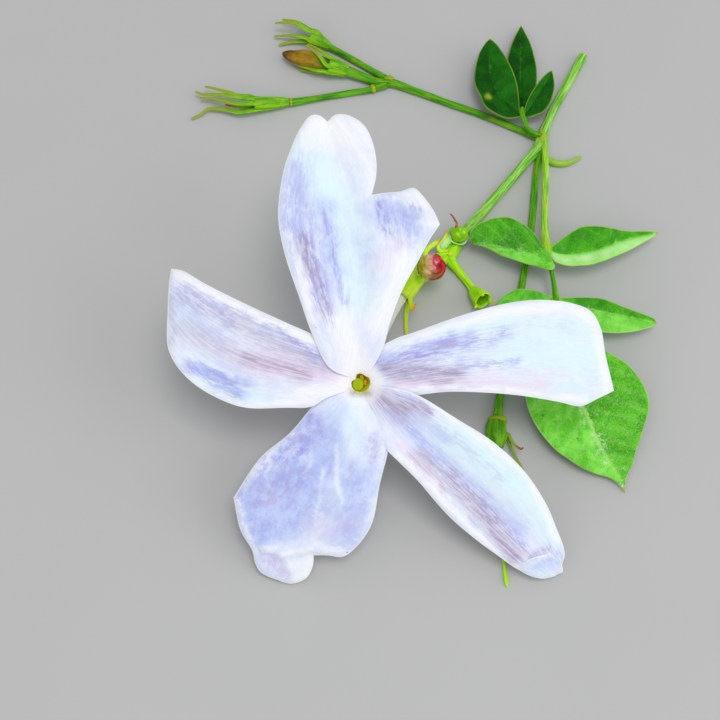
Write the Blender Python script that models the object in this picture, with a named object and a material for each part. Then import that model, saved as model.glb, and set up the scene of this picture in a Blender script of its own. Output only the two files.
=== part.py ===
"""A cut sprig of jasmine lying on a flat surface: one open bloom, a bud, spent calyces and two leaves.

Shapes are drawn in millimetres and brought to metres as each node is finished.
Plan points are (x, y, z) from the spot on the surface straight below the bloom's throat.
Face points are (u, v, w): right, up and out of the bloom's face, from the throat.
"""

import math

import bmesh
import bpy
import numpy as np
from mathutils import Matrix, Vector
from mathutils.geometry import delaunay_2d_cdt

MM = 0.001

# Driving dimensions, in millimetres unless named otherwise
THROAT_IN_ROW = (-5.6, -13.85)
THROAT_HEIGHT = 9.5
FACE_LEAN_DEG = 22.0
THROAT_RADIUS = 0.8
FUNNEL_DEPTH = 1.0
FUNNEL_REACH = 0.8
PETAL_THICKNESS = 0.6
PETAL_POINT_SPACING = 1.7
PETAL_INNER_SPACING = 2.1
PETAL_INNER_MARGIN = 0.9
EDGE_ROLL_WIDTH = 1.4
EDGE_ROLL_DROP = 0.45
LEAF_THICKNESS = 0.6
LEAF_ROWS = 10
LEAF_COLUMNS = 6
LOBE_RADII = (0.27, 0.12)
LOBE_ROOT_DEPTH = 0.35
ANTHER_ASIDE = 0.46
CURVE_SPACING = 1.2

LEAN = math.radians(FACE_LEAN_DEG)
FACE_RIGHT = np.array((1.0, 0.0, 0.0))
FACE_UP = np.array((0.0, math.cos(LEAN), math.sin(LEAN)))
FACE_OUT = np.array((0.0, -math.sin(LEAN), math.cos(LEAN)))
THROAT = np.array((0.0, 0.0, THROAT_HEIGHT))

# Each petal: the direction it spreads in, its outline in the bloom's face between the two ends
# of its base arc, and how far it bends out of that face. An outline runs counterclockwise from the
# clockwise end of the base and is cut into stretches at its corners. A ridge is a line that
# stands out of the face: two ends, height and width.
PETALS = {
    "top": {
        "direction_deg": 95,
        "base_radius": 1.0,
        "base_deg": (38, 150),
        "outline": [
            [(2.0, 3.1), (2.5, 5.0), (3.6, 7.9), (4.9, 10.3), (6.1, 12.5), (6.8, 13.5)],
            [(6.8, 13.5), (6.3, 14.7), (5.3, 16.1), (4.6, 16.7), (3.5, 16.4), (2.4, 16.3), (1.0, 16.1)],
            [(1.0, 16.1), (1.35, 17.6), (1.4, 19.0), (1.0, 20.9), (0.3, 22.2), (-0.9, 23.0), (-2.1, 23.1),
             (-2.8, 22.5)],
            [(-2.8, 22.5), (-3.5, 23.0), (-4.2, 23.0), (-5.1, 21.9), (-6.0, 19.9), (-6.5, 18.4),
             (-7.0, 14.4), (-6.5, 11.3), (-5.1, 7.1), (-4.0, 4.0), (-2.6, 1.3)],
        ],
        "reach": 23.0,
        "reflex": 1.5,
        "channel": 0.35,
        "twist": 0.02,
        "edge_lift": (0.25, 0.3),
        "ridges": [((3.0, 13.7), (6.8, 13.5), 0.5, 1.2), ((-2.8, 22.5), (-2.4, 18.5), -0.3, 0.7)],
    },
    "left": {
        "direction_deg": 159,
        "base_radius": 1.08,
        "base_deg": (128, 218),
        "outline": [
            [(-2.0, 2.8), (-4.0, 4.1), (-6.0, 5.0), (-9.7, 6.7), (-13.3, 8.5), (-15.2, 9.6), (-16.2, 9.8)],
            [(-16.2, 9.8), (-16.4, 8.3), (-16.5, 5.6), (-16.4, 3.0), (-15.6, 1.4), (-14.0, -0.2),
             (-11.7, -1.5), (-9.7, -2.1), (-6.4, -2.1), (-4.1, -2.0), (-2.9, -1.3)],
        ],
        "reach": 19.0,
        "reflex": 0.9,
        "channel": 0.45,
        "twist": 0.05,
        "edge_lift": (-0.35, 0.3),
        "ridges": [],
    },
    "lower_left": {
        "direction_deg": 248,
        "base_radius": 1.02,
        "base_deg": (190, 304),
        "outline": [
            [(-2.2, -0.5), (-3.5, -1.4), (-4.3, -2.3), (-6.0, -4.3), (-8.5, -6.4), (-10.9, -9.9)],
            [(-10.9, -9.9), (-10.3, -12.8), (-9.3, -14.6), (-9.1, -15.6), (-8.6, -16.5), (-7.3, -17.1),
             (-6.0, -17.5), (-4.7, -17.0), (-4.1, -15.9), (-4.0, -14.9)],
            [(-4.0, -14.9), (-2.7, -14.9), (-1.5, -15.0), (-0.3, -14.1), (1.0, -12.1), (1.7, -8.6),
             (2.4, -5.8), (2.7, -3.8), (1.9, -1.9)],
        ],
        "reach": 18.5,
        "reflex": 2.7,
        "channel": 0.3,
        "twist": 0.0,
        "edge_lift": (-0.3, -0.3),
        "ridges": [((-8.6, -14.0), (-4.3, -14.2), 0.45, 0.7), ((-6.3, -14.3), (-6.4, -16.5), 0.15, 0.6)],
    },
    "lower_right": {
        "direction_deg": 317,
        "base_radius": 1.06,
        "base_deg": (278, 347),
        "outline": [
            [(1.1, -2.2), (1.75, -3.8), (2.1, -5.4), (3.3, -6.7), (4.9, -8.3), (7.6, -11.4), (10.4, -13.8),
             (13.7, -16.3), (15.3, -17.0), (16.7, -17.1), (17.9, -16.7)],
            [(17.9, -16.7), (17.9, -15.4), (17.4, -13.6), (16.1, -10.6), (14.1, -7.6), (11.3, -5.0),
             (8.3, -3.1), (5.6, -1.4), (4.2, -0.75), (2.7, -0.4)],
        ],
        "reach": 24.5,
        "reflex": 2.6,
        "channel": 0.5,
        "twist": 0.0,
        "edge_lift": (0.3, 0.3),
        "ridges": [((14.2, -15.8), (16.2, -15.2), 0.4, 0.8)],
    },
    "right": {
        "direction_deg": 6.5,
        "base_radius": 1.1,
        "base_deg": (325, 415),
        "outline": [
            [(2.6, -1.1), (4.6, -1.05), (7.6, -0.75), (13.0, -1.0), (16.9, -1.6), (19.0, -2.0), (20.4, -1.4),
             (21.9, -0.7)],
            [(21.9, -0.7), (21.2, 2.3), (20.8, 4.5), (19.9, 6.1), (18.3, 6.8), (15.4, 7.1), (12.6, 6.8),
             (8.5, 5.7), (4.6, 4.3), (3.1, 3.8), (1.5, 2.8)],
        ],
        "reach": 22.0,
        "reflex": 1.8,
        "channel": 0.45,
        "twist": 0.03,
        "edge_lift": (-0.3, -0.25),
        "ridges": [],
    },
}
# The rolled-over end of the lower right petal: its outline in the face and its height over the petal
TIP_FLAP = [
    (13.9, -16.3), (14.3, -15.3), (15.5, -14.7), (16.7, -14.6), (17.6, -15.3), (17.6, -16.6), (16.6, -16.9),
    (15.2, -16.8),
]
TIP_FLAP_RISE = 0.45

# The corolla tube's axis, and its outer and bore radii along it from throat to foot
TUBE_FOOT = (4.6, 12.1, 1.15)
TUBE_BEND = 4.6
TUBE_MOUTH_W = -0.55
TUBE_RADII = [
    (0.0, 1.35, 0.85), (0.06, 1.3, 0.82), (0.2, 0.98, 0.68),
    (0.5, 0.7, 0.42), (0.8, 0.52, 0.3), (1.0, 0.48, 0.27),
]
TUBE_STATIONS = 14

# Calyx of the bloom, from its pedicel to its mouth
CALYX_FOOT = (6.0, 14.0, 0.95)
CALYX_MOUTH = (4.15, 11.45, 1.2)


def interpolate(pairs, at):
    """Values of a broken line through (position, value, ...) rows, one column at a time."""
    table = np.array(pairs, float)
    return [np.interp(at, table[:, 0], column) for column in table.T[1:]]


def curve_through(controls, spacing=CURVE_SPACING):
    """Points about spacing apart on the centripetal Catmull-Rom curve through the control points."""
    knots = np.array(controls, float)
    padded = np.vstack([2 * knots[0] - knots[1], knots, 2 * knots[-1] - knots[-2]])
    points = [knots[0]]
    for before, start, end, after in zip(padded, padded[1:], padded[2:], padded[3:]):
        t1 = math.sqrt(np.linalg.norm(start - before))
        t2 = t1 + math.sqrt(np.linalg.norm(end - start))
        t3 = t2 + math.sqrt(np.linalg.norm(after - end))
        count = max(1, round(np.linalg.norm(end - start) / spacing))
        for t in np.linspace(t1, t2, count + 1)[1:]:
            a1 = ((t1 - t) * before + t * start) / t1
            a2 = ((t2 - t) * start + (t - t1) * end) / (t2 - t1)
            a3 = ((t3 - t) * end + (t - t2) * after) / (t3 - t2)
            b1 = ((t2 - t) * a1 + t * a2) / t2
            b2 = ((t3 - t) * a2 + (t - t1) * a3) / (t3 - t1)
            points.append(((t2 - t) * b1 + (t - t1) * b2) / (t2 - t1))
    return np.array(points)


def unit(vector):
    return vector / np.linalg.norm(vector)


def frames(path):
    """Tangent, upward normal and side at each point of the path, turning as little as they can."""
    tangents = [unit(step) for step in np.gradient(path, axis=0)]
    up = np.array((0.0, 0.0, 1.0))
    normal = unit(up - tangents[0] * up.dot(tangents[0]))
    out = []
    for tangent in tangents:
        normal = unit(normal - tangent * normal.dot(tangent))
        out.append((tangent, normal, np.cross(tangent, normal)))
    return out


def rings(path, radii, sides):
    """One ring of points round each point of the path, with a flat side facing down."""
    out = []
    for centre, radius, (_, normal, side) in zip(path, radii, frames(path)):
        turn = [2 * math.pi * (k + 0.5) / sides for k in range(sides)]
        out.append([centre + radius * (math.cos(a) * normal + math.sin(a) * side) for a in turn])
    return out


def solid(name, points, faces):
    """An object in millimetres whose faces all point outwards."""
    mesh = bpy.data.meshes.new(name)
    mesh.from_pydata([tuple(point) for point in points], [], [tuple(face) for face in faces])
    work = bmesh.new()
    work.from_mesh(mesh)
    bmesh.ops.triangulate(work, faces=work.faces[:])
    bmesh.ops.recalc_face_normals(work, faces=work.faces[:])
    work.to_mesh(mesh)
    work.free()
    made = bpy.data.objects.new(name, mesh)
    bpy.context.scene.collection.objects.link(made)
    return made


def strip(first, second, sides):
    """Faces between two rings of points, given the index of each ring's first point."""
    return [(first + k, first + (k + 1) % sides, second + (k + 1) % sides, second + k) for k in range(sides)]


def stem(controls, sides=8, floor=None):
    """A closed round stem through (x, y, z, radius) control points. A floor flattens it underneath."""
    curve = curve_through(controls)
    points = np.array(rings(curve[:, :3], curve[:, 3], sides)).reshape(-1, 3)
    if floor is not None:
        points[:, 2] = np.maximum(points[:, 2], floor)
    last = len(curve) - 1
    faces = [face for k in range(last) for face in strip(k * sides, (k + 1) * sides, sides)]
    faces += [tuple(range(sides)), tuple(last * sides + k for k in range(sides))]
    return solid("stem", points, faces)


def cup(outer, inner, sides=12, through=False):
    """A hollow stem: outer and inner are (x, y, z, radius) rows from the mouth down.

    The bore goes right through, or stops at the inner row's last ring.
    """
    outer, inner = np.array(outer), np.array(inner)
    shells = [rings(rows[:, :3], rows[:, 3], sides) for rows in (outer, inner)]
    points = np.array(shells[0] + shells[1]).reshape(-1, 3)
    first_inner = len(outer) * sides
    last_outer, last_inner = first_inner - sides, first_inner + (len(inner) - 1) * sides
    faces = strip(0, first_inner, sides)
    for start, rows in ((0, len(outer)), (first_inner, len(inner))):
        for first in range(start, start + (rows - 1) * sides, sides):
            faces += strip(first, first + sides, sides)
    if through:
        faces += strip(last_outer, last_inner, sides)
    else:
        faces += [tuple(last + k for k in range(sides)) for last in (last_outer, last_inner)]
    return solid("cup", points, faces)


def thicken(points, normals, triangles, thickness):
    """A closed blade round a sheet, its faces split into the same triangles, cut off at the surface below."""
    count = len(points)
    both = np.vstack([points + normals * thickness / 2, points - normals * thickness / 2])
    both[:, 2] = np.maximum(both[:, 2], 0.0)
    edges = {(a, b) for face in triangles for a, b in zip(face, face[1:] + face[:1])}
    faces = list(triangles) + [tuple(k + count for k in reversed(face)) for face in triangles]
    for a, b in sorted(edges):
        if (b, a) not in edges:
            faces += [(b, a, a + count), (b, a + count, b + count)]
    return solid("blade", both, faces)


def distance_to_line(points, start, end):
    """Distance of each point to the segment from start to end."""
    start, end = np.array(start), np.array(end)
    run = end - start
    along = np.clip((points - start) @ run / run.dot(run), 0.0, 1.0)
    return np.linalg.norm(points - start - along[:, None] * run, axis=1)


def distance_to_outline(points, outline):
    """Distance of each point to the nearest side of a closed outline."""
    sides = zip(outline, np.roll(outline, -1, axis=0))
    return np.min([distance_to_line(points, start, end) for start, end in sides], axis=0)


def inside_outline(points, outline):
    """True for each point that a closed outline goes round."""
    inside = np.zeros(len(points), bool)
    for (x1, y1), (x2, y2) in zip(outline, np.roll(outline, -1, axis=0)):
        if y1 != y2:
            crosses = (points[:, 1] > y1) != (points[:, 1] > y2)
            inside ^= crosses & (points[:, 0] < x1 + (points[:, 1] - y1) * (x2 - x1) / (y2 - y1))
    return inside


def fill_outline(outline):
    """Points and triangles of a flat outline, with a staggered grid of points inside it."""
    low, high = outline.min(axis=0), outline.max(axis=0)
    row_step = PETAL_INNER_SPACING * math.sqrt(3) / 2
    grid = [
        (low[0] + (column + 0.5 * (row % 2)) * PETAL_INNER_SPACING, low[1] + row * row_step)
        for row in range(int((high[1] - low[1]) / row_step) + 2)
        for column in range(int((high[0] - low[0]) / PETAL_INNER_SPACING) + 2)
    ]
    grid = np.array(grid)
    keep = inside_outline(grid, outline) & (distance_to_outline(grid, outline) > PETAL_INNER_MARGIN)
    points = [Vector(point) for point in np.vstack([outline, grid[keep]])]
    found = delaunay_2d_cdt(points, [], [list(range(len(outline)))], 1, 1e-6, False)
    points = np.array([tuple(point) for point in found[0]])
    triangles = np.array([tuple(face) for face in found[2]])
    triangles = triangles[inside_outline(points[triangles].mean(axis=1), outline)]
    return points, [tuple(int(corner) for corner in triangle) for triangle in triangles]


def petal_outline(petal):
    """The petal's whole outline, with its base as an arc round the throat."""
    start, end = (math.radians(a) for a in petal["base_deg"])
    radius = petal["base_radius"]
    arc = [(radius * math.cos(a), radius * math.sin(a)) for a in np.linspace(end, start, 5)]
    first, last = petal["outline"][0], petal["outline"][-1]
    stretches = [[arc[-1]] + first] + petal["outline"][1:-1] + [last + [arc[0]]]
    loop = [point for stretch in stretches for point in curve_through(stretch, PETAL_POINT_SPACING)[:-1]]
    return np.array(loop + arc[:-1])


def petal_height(petal, points, outline):
    """How far each face point of the petal stands out of the bloom's face."""
    turn = math.radians(petal["direction_deg"])
    along = points @ (math.cos(turn), math.sin(turn))
    aside = points @ (-math.sin(turn), math.cos(turn))
    radius = np.linalg.norm(points, axis=1)
    outward = np.clip((radius - THROAT_RADIUS) / petal["reach"], 0.0, 1.2)
    funnel = -FUNNEL_DEPTH * np.exp(-(radius - THROAT_RADIUS) / FUNNEL_REACH)
    reflex = -petal["reflex"] * outward**2
    middle = np.exp(-((aside / 1.6) ** 2))
    channel = -petal["channel"] * middle * np.sin(math.pi * np.clip(outward, 0, 1)) ** 0.5
    angle = np.degrees(np.arctan2(aside, along)) / 40
    fade = np.clip((radius - THROAT_RADIUS) / 1.5, 0, 1) * np.exp(-radius / 7)
    clockwise, counter = petal["edge_lift"]
    lift = fade * (counter * np.clip(angle, 0, 1.6) + clockwise * np.clip(-angle, 0, 1.6))
    edge = np.clip(1 - distance_to_outline(points, outline) / EDGE_ROLL_WIDTH, 0, 1)
    roll = -EDGE_ROLL_DROP * edge**2 * np.clip((radius - 2) / 3, 0, 1)
    height = funnel + reflex + channel + lift + roll + petal["twist"] * aside * outward
    for start, end, rise, width in petal["ridges"]:
        height += rise * np.exp(-((distance_to_line(points, start, end) / width) ** 2))
    return height


def petal_normals(petal, points, outline):
    """The sheet's normals in face directions, from the height's slope."""
    step = 0.05
    right, up = (
        petal_height(petal, points + move, outline) - petal_height(petal, points - move, outline)
        for move in np.diag((step, step))
    )
    slope = np.column_stack([-right / (2 * step), -up / (2 * step), np.ones(len(points))])
    return slope / np.linalg.norm(slope, axis=1)[:, None]


def face_to_plan(rows):
    """Face directions (u, v, w) as plan directions."""
    return rows @ np.array([FACE_RIGHT, FACE_UP, FACE_OUT])


def petal_blade(petal):
    outline = petal_outline(petal)
    flat, triangles = fill_outline(outline)
    height = petal_height(petal, flat, outline)
    points = face_to_plan(np.column_stack([flat, height])) + THROAT
    return thicken(points, face_to_plan(petal_normals(petal, flat, outline)), triangles, PETAL_THICKNESS)


def tip_flap_blade(petal):
    """The end of a petal folded forward over itself: it sinks into the petal at its outer edge."""
    outline = petal_outline(petal)
    edge = curve_through(TIP_FLAP + TIP_FLAP[:1], PETAL_POINT_SPACING)[:-1]
    flat, triangles = fill_outline(edge)
    height = petal_height(petal, flat, outline) + TIP_FLAP_RISE
    points = face_to_plan(np.column_stack([flat, height])) + THROAT
    return thicken(points, face_to_plan(petal_normals(petal, flat, outline)), triangles, PETAL_THICKNESS)


def tube_axis(stations):
    """Points of the corolla tube's axis, straight back from the throat and then bending into the calyx."""
    mouth = THROAT + TUBE_MOUTH_W * FACE_OUT
    foot = np.array(TUBE_FOOT)
    into_calyx = unit(np.array(CALYX_FOOT) - np.array(CALYX_MOUTH))
    second = mouth - TUBE_BEND * FACE_OUT
    third = foot - TUBE_BEND * into_calyx
    rows = [
        (1 - t) ** 3 * mouth + 3 * (1 - t) ** 2 * t * second + 3 * (1 - t) * t**2 * third + t**3 * foot
        for t in stations
    ]
    return np.array(rows)


def tube_blade():
    stations = np.linspace(0, 1, TUBE_STATIONS)
    axis = tube_axis(stations)
    outer, bore = interpolate(TUBE_RADII, stations)
    return cup(np.column_stack([axis, outer]), np.column_stack([axis, bore]), sides=12, through=True)


def calyx(foot, mouth, radii, depth, wall, lobes, sides=10):
    """A green calyx: a cup from its foot to its mouth with slender lobes round the rim.

    radii are the outer radii at foot, middle and mouth. Each lobe is a list of plan points going
    outwards, rooted in the wall just under the rim. It tapers from LOBE_RADII's first value to its last.
    """
    foot, mouth = np.array(foot), np.array(mouth)
    stations = np.linspace(0, 1, 6)
    centres = mouth + (foot - mouth) * stations[:, None]
    outer = np.interp(stations, (0, 0.5, 1), radii[::-1])
    deep = np.linspace(0, depth, 4)
    bore_centres = mouth + (foot - mouth) * deep[:, None]
    bore = np.interp(deep, (0, 0.5, 1), radii[::-1]) - wall
    pieces = [cup(np.column_stack([centres, outer]), np.column_stack([bore_centres, bore]), sides)]
    inward = unit(foot - mouth)
    for lobe in lobes:
        way = np.array(lobe[0]) - mouth
        way = unit(way - inward * way.dot(inward))
        root = mouth + way * (radii[2] - wall / 2) + inward * LOBE_ROOT_DEPTH
        run = [root, *(np.array(point) for point in lobe)]
        taper = np.interp(np.linspace(0, 1, len(run)), (0, 1), LOBE_RADII)
        pieces.append(stem([(*point, radius) for point, radius in zip(run, taper)], sides=6, floor=0.0))
    return pieces


def leaflet(base, tip, left, right, arch=0.3, fold=0.2, bend=0.0, widest=0.45):
    """A leaf blade from base to tip: left and right are its half widths at the widest place.

    arch raises its middle, fold lifts its two edges, and bend curves its midrib to the left.
    """
    base, tip = np.array(base, float), np.array(tip, float)
    run = tip - base
    side = unit(np.array((-run[1], run[0], 0.0)))
    up = np.array((0.0, 0.0, 1.0))
    shape = math.log(0.5) / math.log(widest)
    grid = np.empty((LEAF_ROWS, LEAF_COLUMNS + 1, 3))
    for row, t in enumerate(np.linspace(0, 1, LEAF_ROWS)):
        hump = 4 * t * (1 - t)
        spread = max(math.sin(math.pi * t**shape), 0.0)
        for column, s in enumerate(np.linspace(1, -1, LEAF_COLUMNS + 1)):
            half = max((left if s > 0 else right) * spread, 0.22)
            lift = up * (arch * hump + fold * abs(s) * spread)
            grid[row, column] = base + run * t + side * (bend * hump + s * half) + lift
    along, across = np.gradient(grid, axis=0), np.gradient(grid, axis=1)
    normals = np.cross(across, along)
    normals /= np.linalg.norm(normals, axis=2)[:, :, None]
    normals *= np.sign(normals[:, :, 2:3])
    width = LEAF_COLUMNS + 1
    triangles = []
    for row in range(LEAF_ROWS - 1):
        for column in range(LEAF_COLUMNS):
            a, b = row * width + column, row * width + column + 1
            c, d = b + width, a + width
            triangles += [(a, d, c), (a, c, b)] if column < LEAF_COLUMNS / 2 else [(a, d, b), (b, d, c)]
    return thicken(grid.reshape(-1, 3), normals.reshape(-1, 3), triangles, LEAF_THICKNESS)


def material(name, colour, roughness):
    made = bpy.data.materials.new(name)
    made.use_nodes = True
    shader = made.node_tree.nodes["Principled BSDF"]
    shader.inputs["Base Color"].default_value = (*colour, 1.0)
    shader.inputs["Roughness"].default_value = roughness
    shader.inputs["Metallic"].default_value = 0.0
    return made


def union(pieces):
    """One mesh from pieces that overlap, and the pieces removed."""
    whole = pieces[0]
    others = bpy.data.collections.new("others")
    for piece in pieces[1:]:
        others.objects.link(piece)
    join = whole.modifiers.new("join", "BOOLEAN")
    join.operation = "UNION"
    join.operand_type = "COLLECTION"
    join.collection = others
    joined = bpy.data.meshes.new_from_object(whole.evaluated_get(bpy.context.evaluated_depsgraph_get()))
    for piece in pieces:
        bpy.data.objects.remove(piece)
    bpy.data.collections.remove(others)
    return joined


def node(name, pieces, finish, origin, smooth_deg=50):
    """A named node from its pieces, with its origin at the given plan point, in metres."""
    if len(pieces) > 1:
        mesh = union(pieces)
    else:
        mesh = pieces[0].data
        bpy.data.objects.remove(pieces[0])
    mesh.name = name
    mesh.transform(Matrix.Scale(MM, 4) @ Matrix.Translation(-Vector(origin)))
    mesh.materials.clear()
    mesh.materials.append(finish)
    mesh.shade_smooth()
    mesh.set_sharp_from_angle(angle=math.radians(smooth_deg))
    made = bpy.data.objects.new(name, mesh)
    made.location = MM * Vector(origin)
    made.parent = sprig
    bpy.context.scene.collection.objects.link(made)
    return made


for old in list(bpy.data.objects):
    bpy.data.objects.remove(old)

sprig = bpy.data.objects.new("sprig", None)
sprig.location = (THROAT_IN_ROW[0] * MM, THROAT_IN_ROW[1] * MM, 0.0)
bpy.context.scene.collection.objects.link(sprig)

petal_white = material("petal_white", (0.72, 0.75, 0.93), 0.5)
anther_yellow = material("anther_yellow", (0.75, 0.6, 0.1), 0.6)
pistil_green = material("pistil_green", (0.45, 0.5, 0.08), 0.5)
stem_green = material("stem_green", (0.2, 0.42, 0.08), 0.5)
calyx_green = material("calyx_green", (0.32, 0.55, 0.05), 0.5)
leaf_green = material("leaf_green", (0.06, 0.24, 0.04), 0.45)
bud_red = material("bud_red", (0.6, 0.1, 0.13), 0.5)
withered_brown = material("withered_brown", (0.35, 0.16, 0.04), 0.8)

# The open bloom
corolla_pieces = [petal_blade(petal) for petal in PETALS.values()]
corolla_pieces.append(tip_flap_blade(PETALS["lower_right"]))
corolla_pieces.append(tube_blade())
node("corolla", corolla_pieces, petal_white, tuple(THROAT), smooth_deg=60)


def along_tube(rows, aside=0.0):
    """Stem control points at (station, radius) rows of the tube's axis, moved aside along the face."""
    centres = tube_axis([station for station, _ in rows]) + aside * FACE_RIGHT
    return [(*centre, radius) for centre, (_, radius) in zip(centres, rows)]


for number, aside in enumerate((-ANTHER_ASIDE, ANTHER_ASIDE), start=1):
    anther = stem(along_tube([(0.09, 0.06), (0.11, 0.15), (0.16, 0.15), (0.2, 0.08)], aside), sides=6)
    node(f"anther_{number}", [anther], anther_yellow, tuple(tube_axis([0.1])[0]))

stigma_and_style = along_tube(
    [(0.01, 0.15), (0.03, 0.37), (0.055, 0.34), (0.075, 0.14), (0.3, 0.13), (0.65, 0.12), (1.0, 0.13)]
)
ovary = [(4.8, 12.36, 1.14, 0.28), (4.95, 12.56, 1.12, 0.36), (5.1, 12.77, 1.1, 0.22)]
node("pistil", [stem(stigma_and_style + ovary, sides=6)], pistil_green, tuple(tube_axis([0.5])[0]))

calyx_lobes = [
    [(4.55, 11.35, 1.95), (4.75, 10.7, 2.1), (4.95, 10.1, 2.2), (5.25, 10.2, 2.75)],
    [(4.8, 11.05, 0.9), (4.7, 9.8, 0.75), (4.4, 8.3, 0.6)],
    [(3.5, 11.95, 0.75), (2.4, 11.0, 0.5), (1.4, 9.8, 0.5)],
    [(3.5, 12.0, 1.65), (2.6, 11.6, 2.0), (1.9, 10.9, 2.5)],
    [(4.2, 11.5, 0.35), (3.6, 10.3, 0.3), (2.7, 9.2, 0.3)],
]
calyx_pieces = calyx(CALYX_FOOT, CALYX_MOUTH, (0.5, 0.98, 1.02), 0.62, 0.24, calyx_lobes)
node("flower_calyx", calyx_pieces, calyx_green, CALYX_FOOT)

# The bud, held over the bloom's pedicel and pointing up out of the sprig
bud_foot = np.array((6.3, 14.95, 2.25))
bud_run = unit(np.array((0.28, -0.38, 0.88)))


def on_bud(rows):
    """Stem rows at (distance from the bud's foot, radius) along its axis."""
    return [(*(bud_foot + bud_run * far), radius) for far, radius in rows]


bud_rows = on_bud(
    [(0.55, 0.5), (1.0, 0.95), (1.6, 1.18), (2.3, 1.12), (2.9, 0.85), (3.3, 0.45), (3.45, 0.12)]
)
node("bud", [stem(bud_rows, sides=12)], bud_red, tuple(bud_foot))
bud_cup_outer = on_bud([(1.5, 1.42), (1.0, 1.32), (0.5, 0.95), (0.2, 0.6), (0.0, 0.36)])
bud_cup_inner = on_bud([(1.5, 1.3), (1.0, 1.12), (0.6, 0.78), (0.4, 0.55)])
node("bud_calyx", [cup(bud_cup_outer, bud_cup_inner, sides=12)], calyx_green, tuple(bud_foot))

# The main stem with its swollen joints, a short twig at the upper joint and the cluster's stalks
main_axis = [
    (22.6, 39.0, 0.46, 0.54), (21.0, 36.0, 0.46, 0.54), (19.1, 32.3, 0.48, 0.58), (18.2, 29.6, 0.58, 0.75),
    (17.3, 28.1, 0.5, 0.6), (15.9, 26.6, 0.44, 0.52), (13.9, 24.3, 0.44, 0.5), (12.0, 21.8, 0.44, 0.5),
    (10.2, 19.4, 0.46, 0.5), (9.2, 17.8, 0.55, 0.55), (8.5, 16.6, 0.7, 0.72), (8.3, 16.0, 0.75, 0.45),
]
stalks = [
    [(17.9, 28.5, 0.5, 0.3), (18.5, 27.2, 0.32, 0.26), (19.3, 26.7, 0.24, 0.24), (20.4, 26.62, 0.24, 0.22),
     (21.5, 27.1, 0.3, 0.14)],
    [(8.5, 16.3, 0.7, 0.42), (7.3, 15.3, 0.65, 0.4), (6.15, 14.2, 0.92, 0.46)],
    [(8.3, 16.4, 1.0, 0.34), (7.4, 16.1, 1.35, 0.3), (6.6, 15.7, 1.5, 0.28), (6.25, 15.1, 2.0, 0.3)],
    [(8.6, 16.2, 0.7, 0.5), (9.6, 14.5, 0.42, 0.4), (10.4, 13.0, 0.5, 0.42)],
    [(9.2, 17.75, 0.55, 0.35), (9.28, 17.88, 0.9, 0.32), (9.3, 17.9, 1.1, 0.28)],
]
main_pieces = [stem(main_axis, sides=8, floor=0.0)] + [stem(stalk, sides=8, floor=0.0) for stalk in stalks]
node("main_stem", main_pieces, stem_green, (18.2, 29.6, 0.58))

bracts = [
    [(7.85, 17.35, 1.25, 0.2), (7.8, 17.7, 1.55, 0.2), (8.0, 18.35, 1.9, 0.1)],
    [(7.5, 16.75, 1.25, 0.18), (6.8, 16.85, 1.5, 0.2), (6.0, 16.4, 1.6, 0.1)],
]
for number, rows in enumerate(bracts, start=1):
    node(f"bract_{number}", [stem(rows, 6)], calyx_green, rows[0][:3])

berries = [
    [(9.3, 17.9, 1.27, 0.3), (9.33, 17.92, 1.55, 0.6), (9.36, 17.95, 2.0, 0.75), (9.4, 17.98, 2.45, 0.6),
     (9.42, 18.0, 2.7, 0.25)],
    [(9.2, 18.1, 1.8, 0.2), (8.85, 18.35, 1.75, 0.36), (8.6, 18.5, 1.75, 0.18)],
]
node("young_fruit", [stem(rows, 10) for rows in berries], calyx_green, berries[0][0][:3])
fruit_style = [(9.13, 18.6, 2.72, 0.12), (8.95, 19.1, 3.0, 0.11), (8.5, 19.8, 3.1, 0.08)]
node("withered_style", [stem(fruit_style, 6)], withered_brown, fruit_style[0][:3])

spent_lobes = [
    [(12.3, 11.3, 1.2), (12.7, 11.0, 1.6)],
    [(10.8, 10.85, 1.2), (10.65, 10.5, 1.45)],
    [(11.2, 11.7, 2.3), (11.4, 11.5, 2.6)],
]
spent_foot, spent_mouth = (10.5, 12.8, 0.6), (11.5, 11.55, 1.35)
spent_pieces = calyx(spent_foot, spent_mouth, (0.45, 0.85, 0.95), 0.7, 0.22, spent_lobes)
node("spent_calyx", spent_pieces, calyx_green, spent_foot)

# The side shoot with its three stalks and their calyces
side_axis = [
    (17.2, 29.6, 0.42, 0.36), (15.7, 30.5, 0.36, 0.36), (12.1, 32.2, 0.33, 0.35), (8.8, 33.5, 0.33, 0.36),
    (5.5, 34.9, 0.35, 0.38), (3.2, 35.8, 0.42, 0.44), (1.9, 35.6, 0.45, 0.45),
]
side_stalks = [
    [(2.0, 35.4, 0.45, 0.36), (1.1, 35.0, 0.4, 0.34), (-0.8, 34.7, 0.33, 0.33), (-2.7, 34.4, 0.33, 0.34),
     (-5.0, 34.0, 0.35, 0.36), (-6.65, 33.6, 0.5, 0.4)],
    [(2.2, 35.7, 0.5, 0.42), (0.6, 36.3, 0.55, 0.5), (-0.6, 36.9, 0.7, 0.55)],
    [(2.8, 36.0, 0.4, 0.36), (0.2, 38.1, 0.33, 0.34), (-2.5, 39.7, 0.42, 0.36)],
]
side_pieces = [stem(rows, sides=8, floor=0.0) for rows in [side_axis, *side_stalks]]
node("side_shoot", side_pieces, stem_green, (17.2, 29.6, 0.42))

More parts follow.
